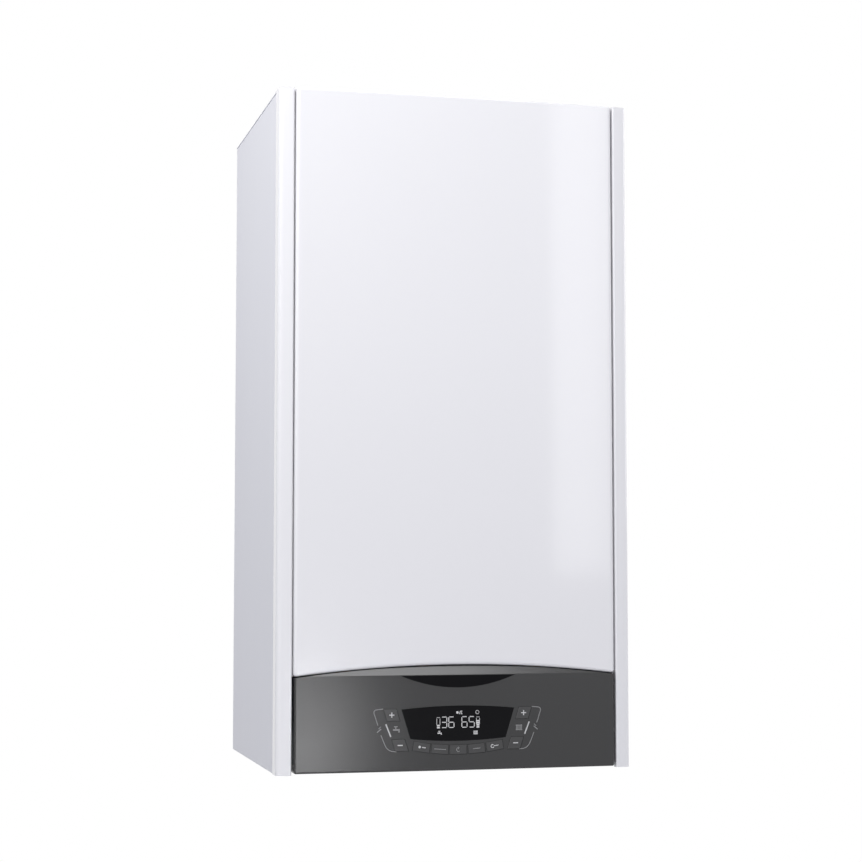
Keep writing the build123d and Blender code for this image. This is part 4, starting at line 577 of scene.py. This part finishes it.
studio = {
    "eye": (-0.5463, -2.3488, -0.4800), "turn": 0.2487, "tilt": 0.0718, "lens": 80.0, "sensor": 36.0,
    "floorDrop": 1.3,         # floor below the casing
    "floorReach": 40.0,       # from its middle to each side
    "floorColour": (0.94, 0.94, 0.94, 1),
    "floorGlow": 0.8,         # share of the floor that shows as plain white; the rest takes the shadow
    "floorFade": (3.0, 8.0),  # metres from the middle over which the floor turns wholly white
    "white": (1, 1, 1, 1),
    "ambient": 0.415, "tint": (0.89, 0.90, 1.0, 1),    # strength and colour of the light all round
}


def aim(holder, gaze):  # turns a lamp or the camera to look along gaze
    holder.rotation_euler = gaze.to_track_quat("-Z", "Y").to_euler()


def makeCamera():
    camera = bpy.data.cameras.new("studioCamera")
    camera.lens = studio["lens"]
    camera.sensor_width = studio["sensor"]
    holder = addObject("studioCamera", camera)
    holder.location = studio["eye"]
    turn, tilt = studio["turn"], studio["tilt"]
    aim(holder, Vector((np.sin(turn) * np.cos(tilt), np.cos(turn) * np.cos(tilt), np.sin(tilt))))
    bpy.context.scene.camera = holder


def makeWorld():  # plain white where it is seen or mirrored, dim and tinted where it lights
    world = bpy.data.worlds.new("studioWorld")
    bpy.context.scene.world = world
    world.use_nodes = True
    sky = Graph(world.node_tree)
    background = sky.tree.nodes["Background"]
    white = sky.whiteRays()
    sky.feed(background.inputs["Strength"],
             sky.node("MapRange", None, {"Value": white, "To Min": studio["ambient"]}))
    sky.feed(background.inputs["Color"], sky.blend(white, studio["tint"], studio["white"]))


softboxes = {  # watts in power; spread in degrees, where a box shines less wide than a bare one
    "topBox": {     # mirrors in the fascia's bevel
        "place": (0.15, -2.1, 1.05), "target": (0.0, -0.3, -0.3), "size": (1.3, 0.65),
        "power": 5.5, "spread": 100.0},
    "rightBox": {   # its edge mirrors in the front panel
        "place": (1.452, -3.642, 0.4), "target": (0.1, -0.3, 0.1), "size": (0.22, 1.8), "power": 5.2},
    "leftBox": {    # lights the front's upper left and the left side
        "place": (-0.9, -0.7, 0.9), "target": (-0.2, -0.15, 0.0), "size": (0.8, 0.8),
        "power": 4.6, "spread": 100.0},
    "cornerStrip": {   # glint down the left corner
        "place": (-1.7, -1.1, 0.2), "target": (-0.2, -0.2, 0.2), "size": (0.12, 2.4), "power": 4.5},
    "lipStrip": {   # glint along the rolled lip
        "place": (0.2, -1.1, -1.5), "target": (0.0, -0.3, -0.6), "size": (2.0, 0.12), "power": 2.0},
    "lowBox": {     # a narrow beam that lightens the fascia's left end
        "place": (0.12, -2.9, -0.9), "target": (-0.31, -0.3, -0.71), "size": (0.3, 0.3),
        "power": 0.028, "spread": 10.0},
    "sideFill": {   # lights the right side
        "place": (1.9, -0.1, 0.2), "target": (0.2, -0.16, -0.3), "size": (0.8, 1.2), "power": 10.0},
}


def makeSoftbox(name, place, target, size, power, spread=180.0):
    lamp = bpy.data.lights.new(name, "AREA")
    lamp.shape = "RECTANGLE"
    lamp.size, lamp.size_y = size
    lamp.energy = power
    lamp.spread = np.radians(spread)
    holder = addObject(name, lamp)
    holder.location = place
    aim(holder, Vector(target) - Vector(place))


def makeFloor():
    mesh = bpy.data.meshes.new("studioFloor")
    corners = np.array([[-1, -1, 0], [1, -1, 0], [1, 1, 0], [-1, 1, 0]]) * studio["floorReach"]
    corners += np.array([0, 0, bottomEdge - studio["floorDrop"]])
    mesh.from_pydata(corners.tolist(), [], [[0, 1, 2, 3]])
    floor = addObject("studioFloor", mesh)
    paint = Finish("paleFloor")
    glowing = paint.node("Emission", None, {"Color": studio["white"], "Strength": 1.0})
    matt = paint.node("BsdfDiffuse", None, {"Color": studio["floorColour"]})
    reach = paint.node("VectorMath", {"operation": "LENGTH"}, {0: paint.place()}, "Value")
    glow = studio["floorGlow"] + (1 - studio["floorGlow"]) * paint.ramp(reach, *studio["floorFade"])
    mixed = paint.node("MixShader", None, {0: paint.whiteRays() * glow, 1: matt, 2: glowing})
    paint.feed(paint.tree.nodes["Material Output"].inputs["Surface"], mixed)
    mesh.materials.append(paint.material)


bpy.context.scene.view_settings.view_transform = "Standard"
makeCamera()
makeWorld()
makeFloor()
for name, values in softboxes.items():
    makeSoftbox(name, **values)
print("studio made")
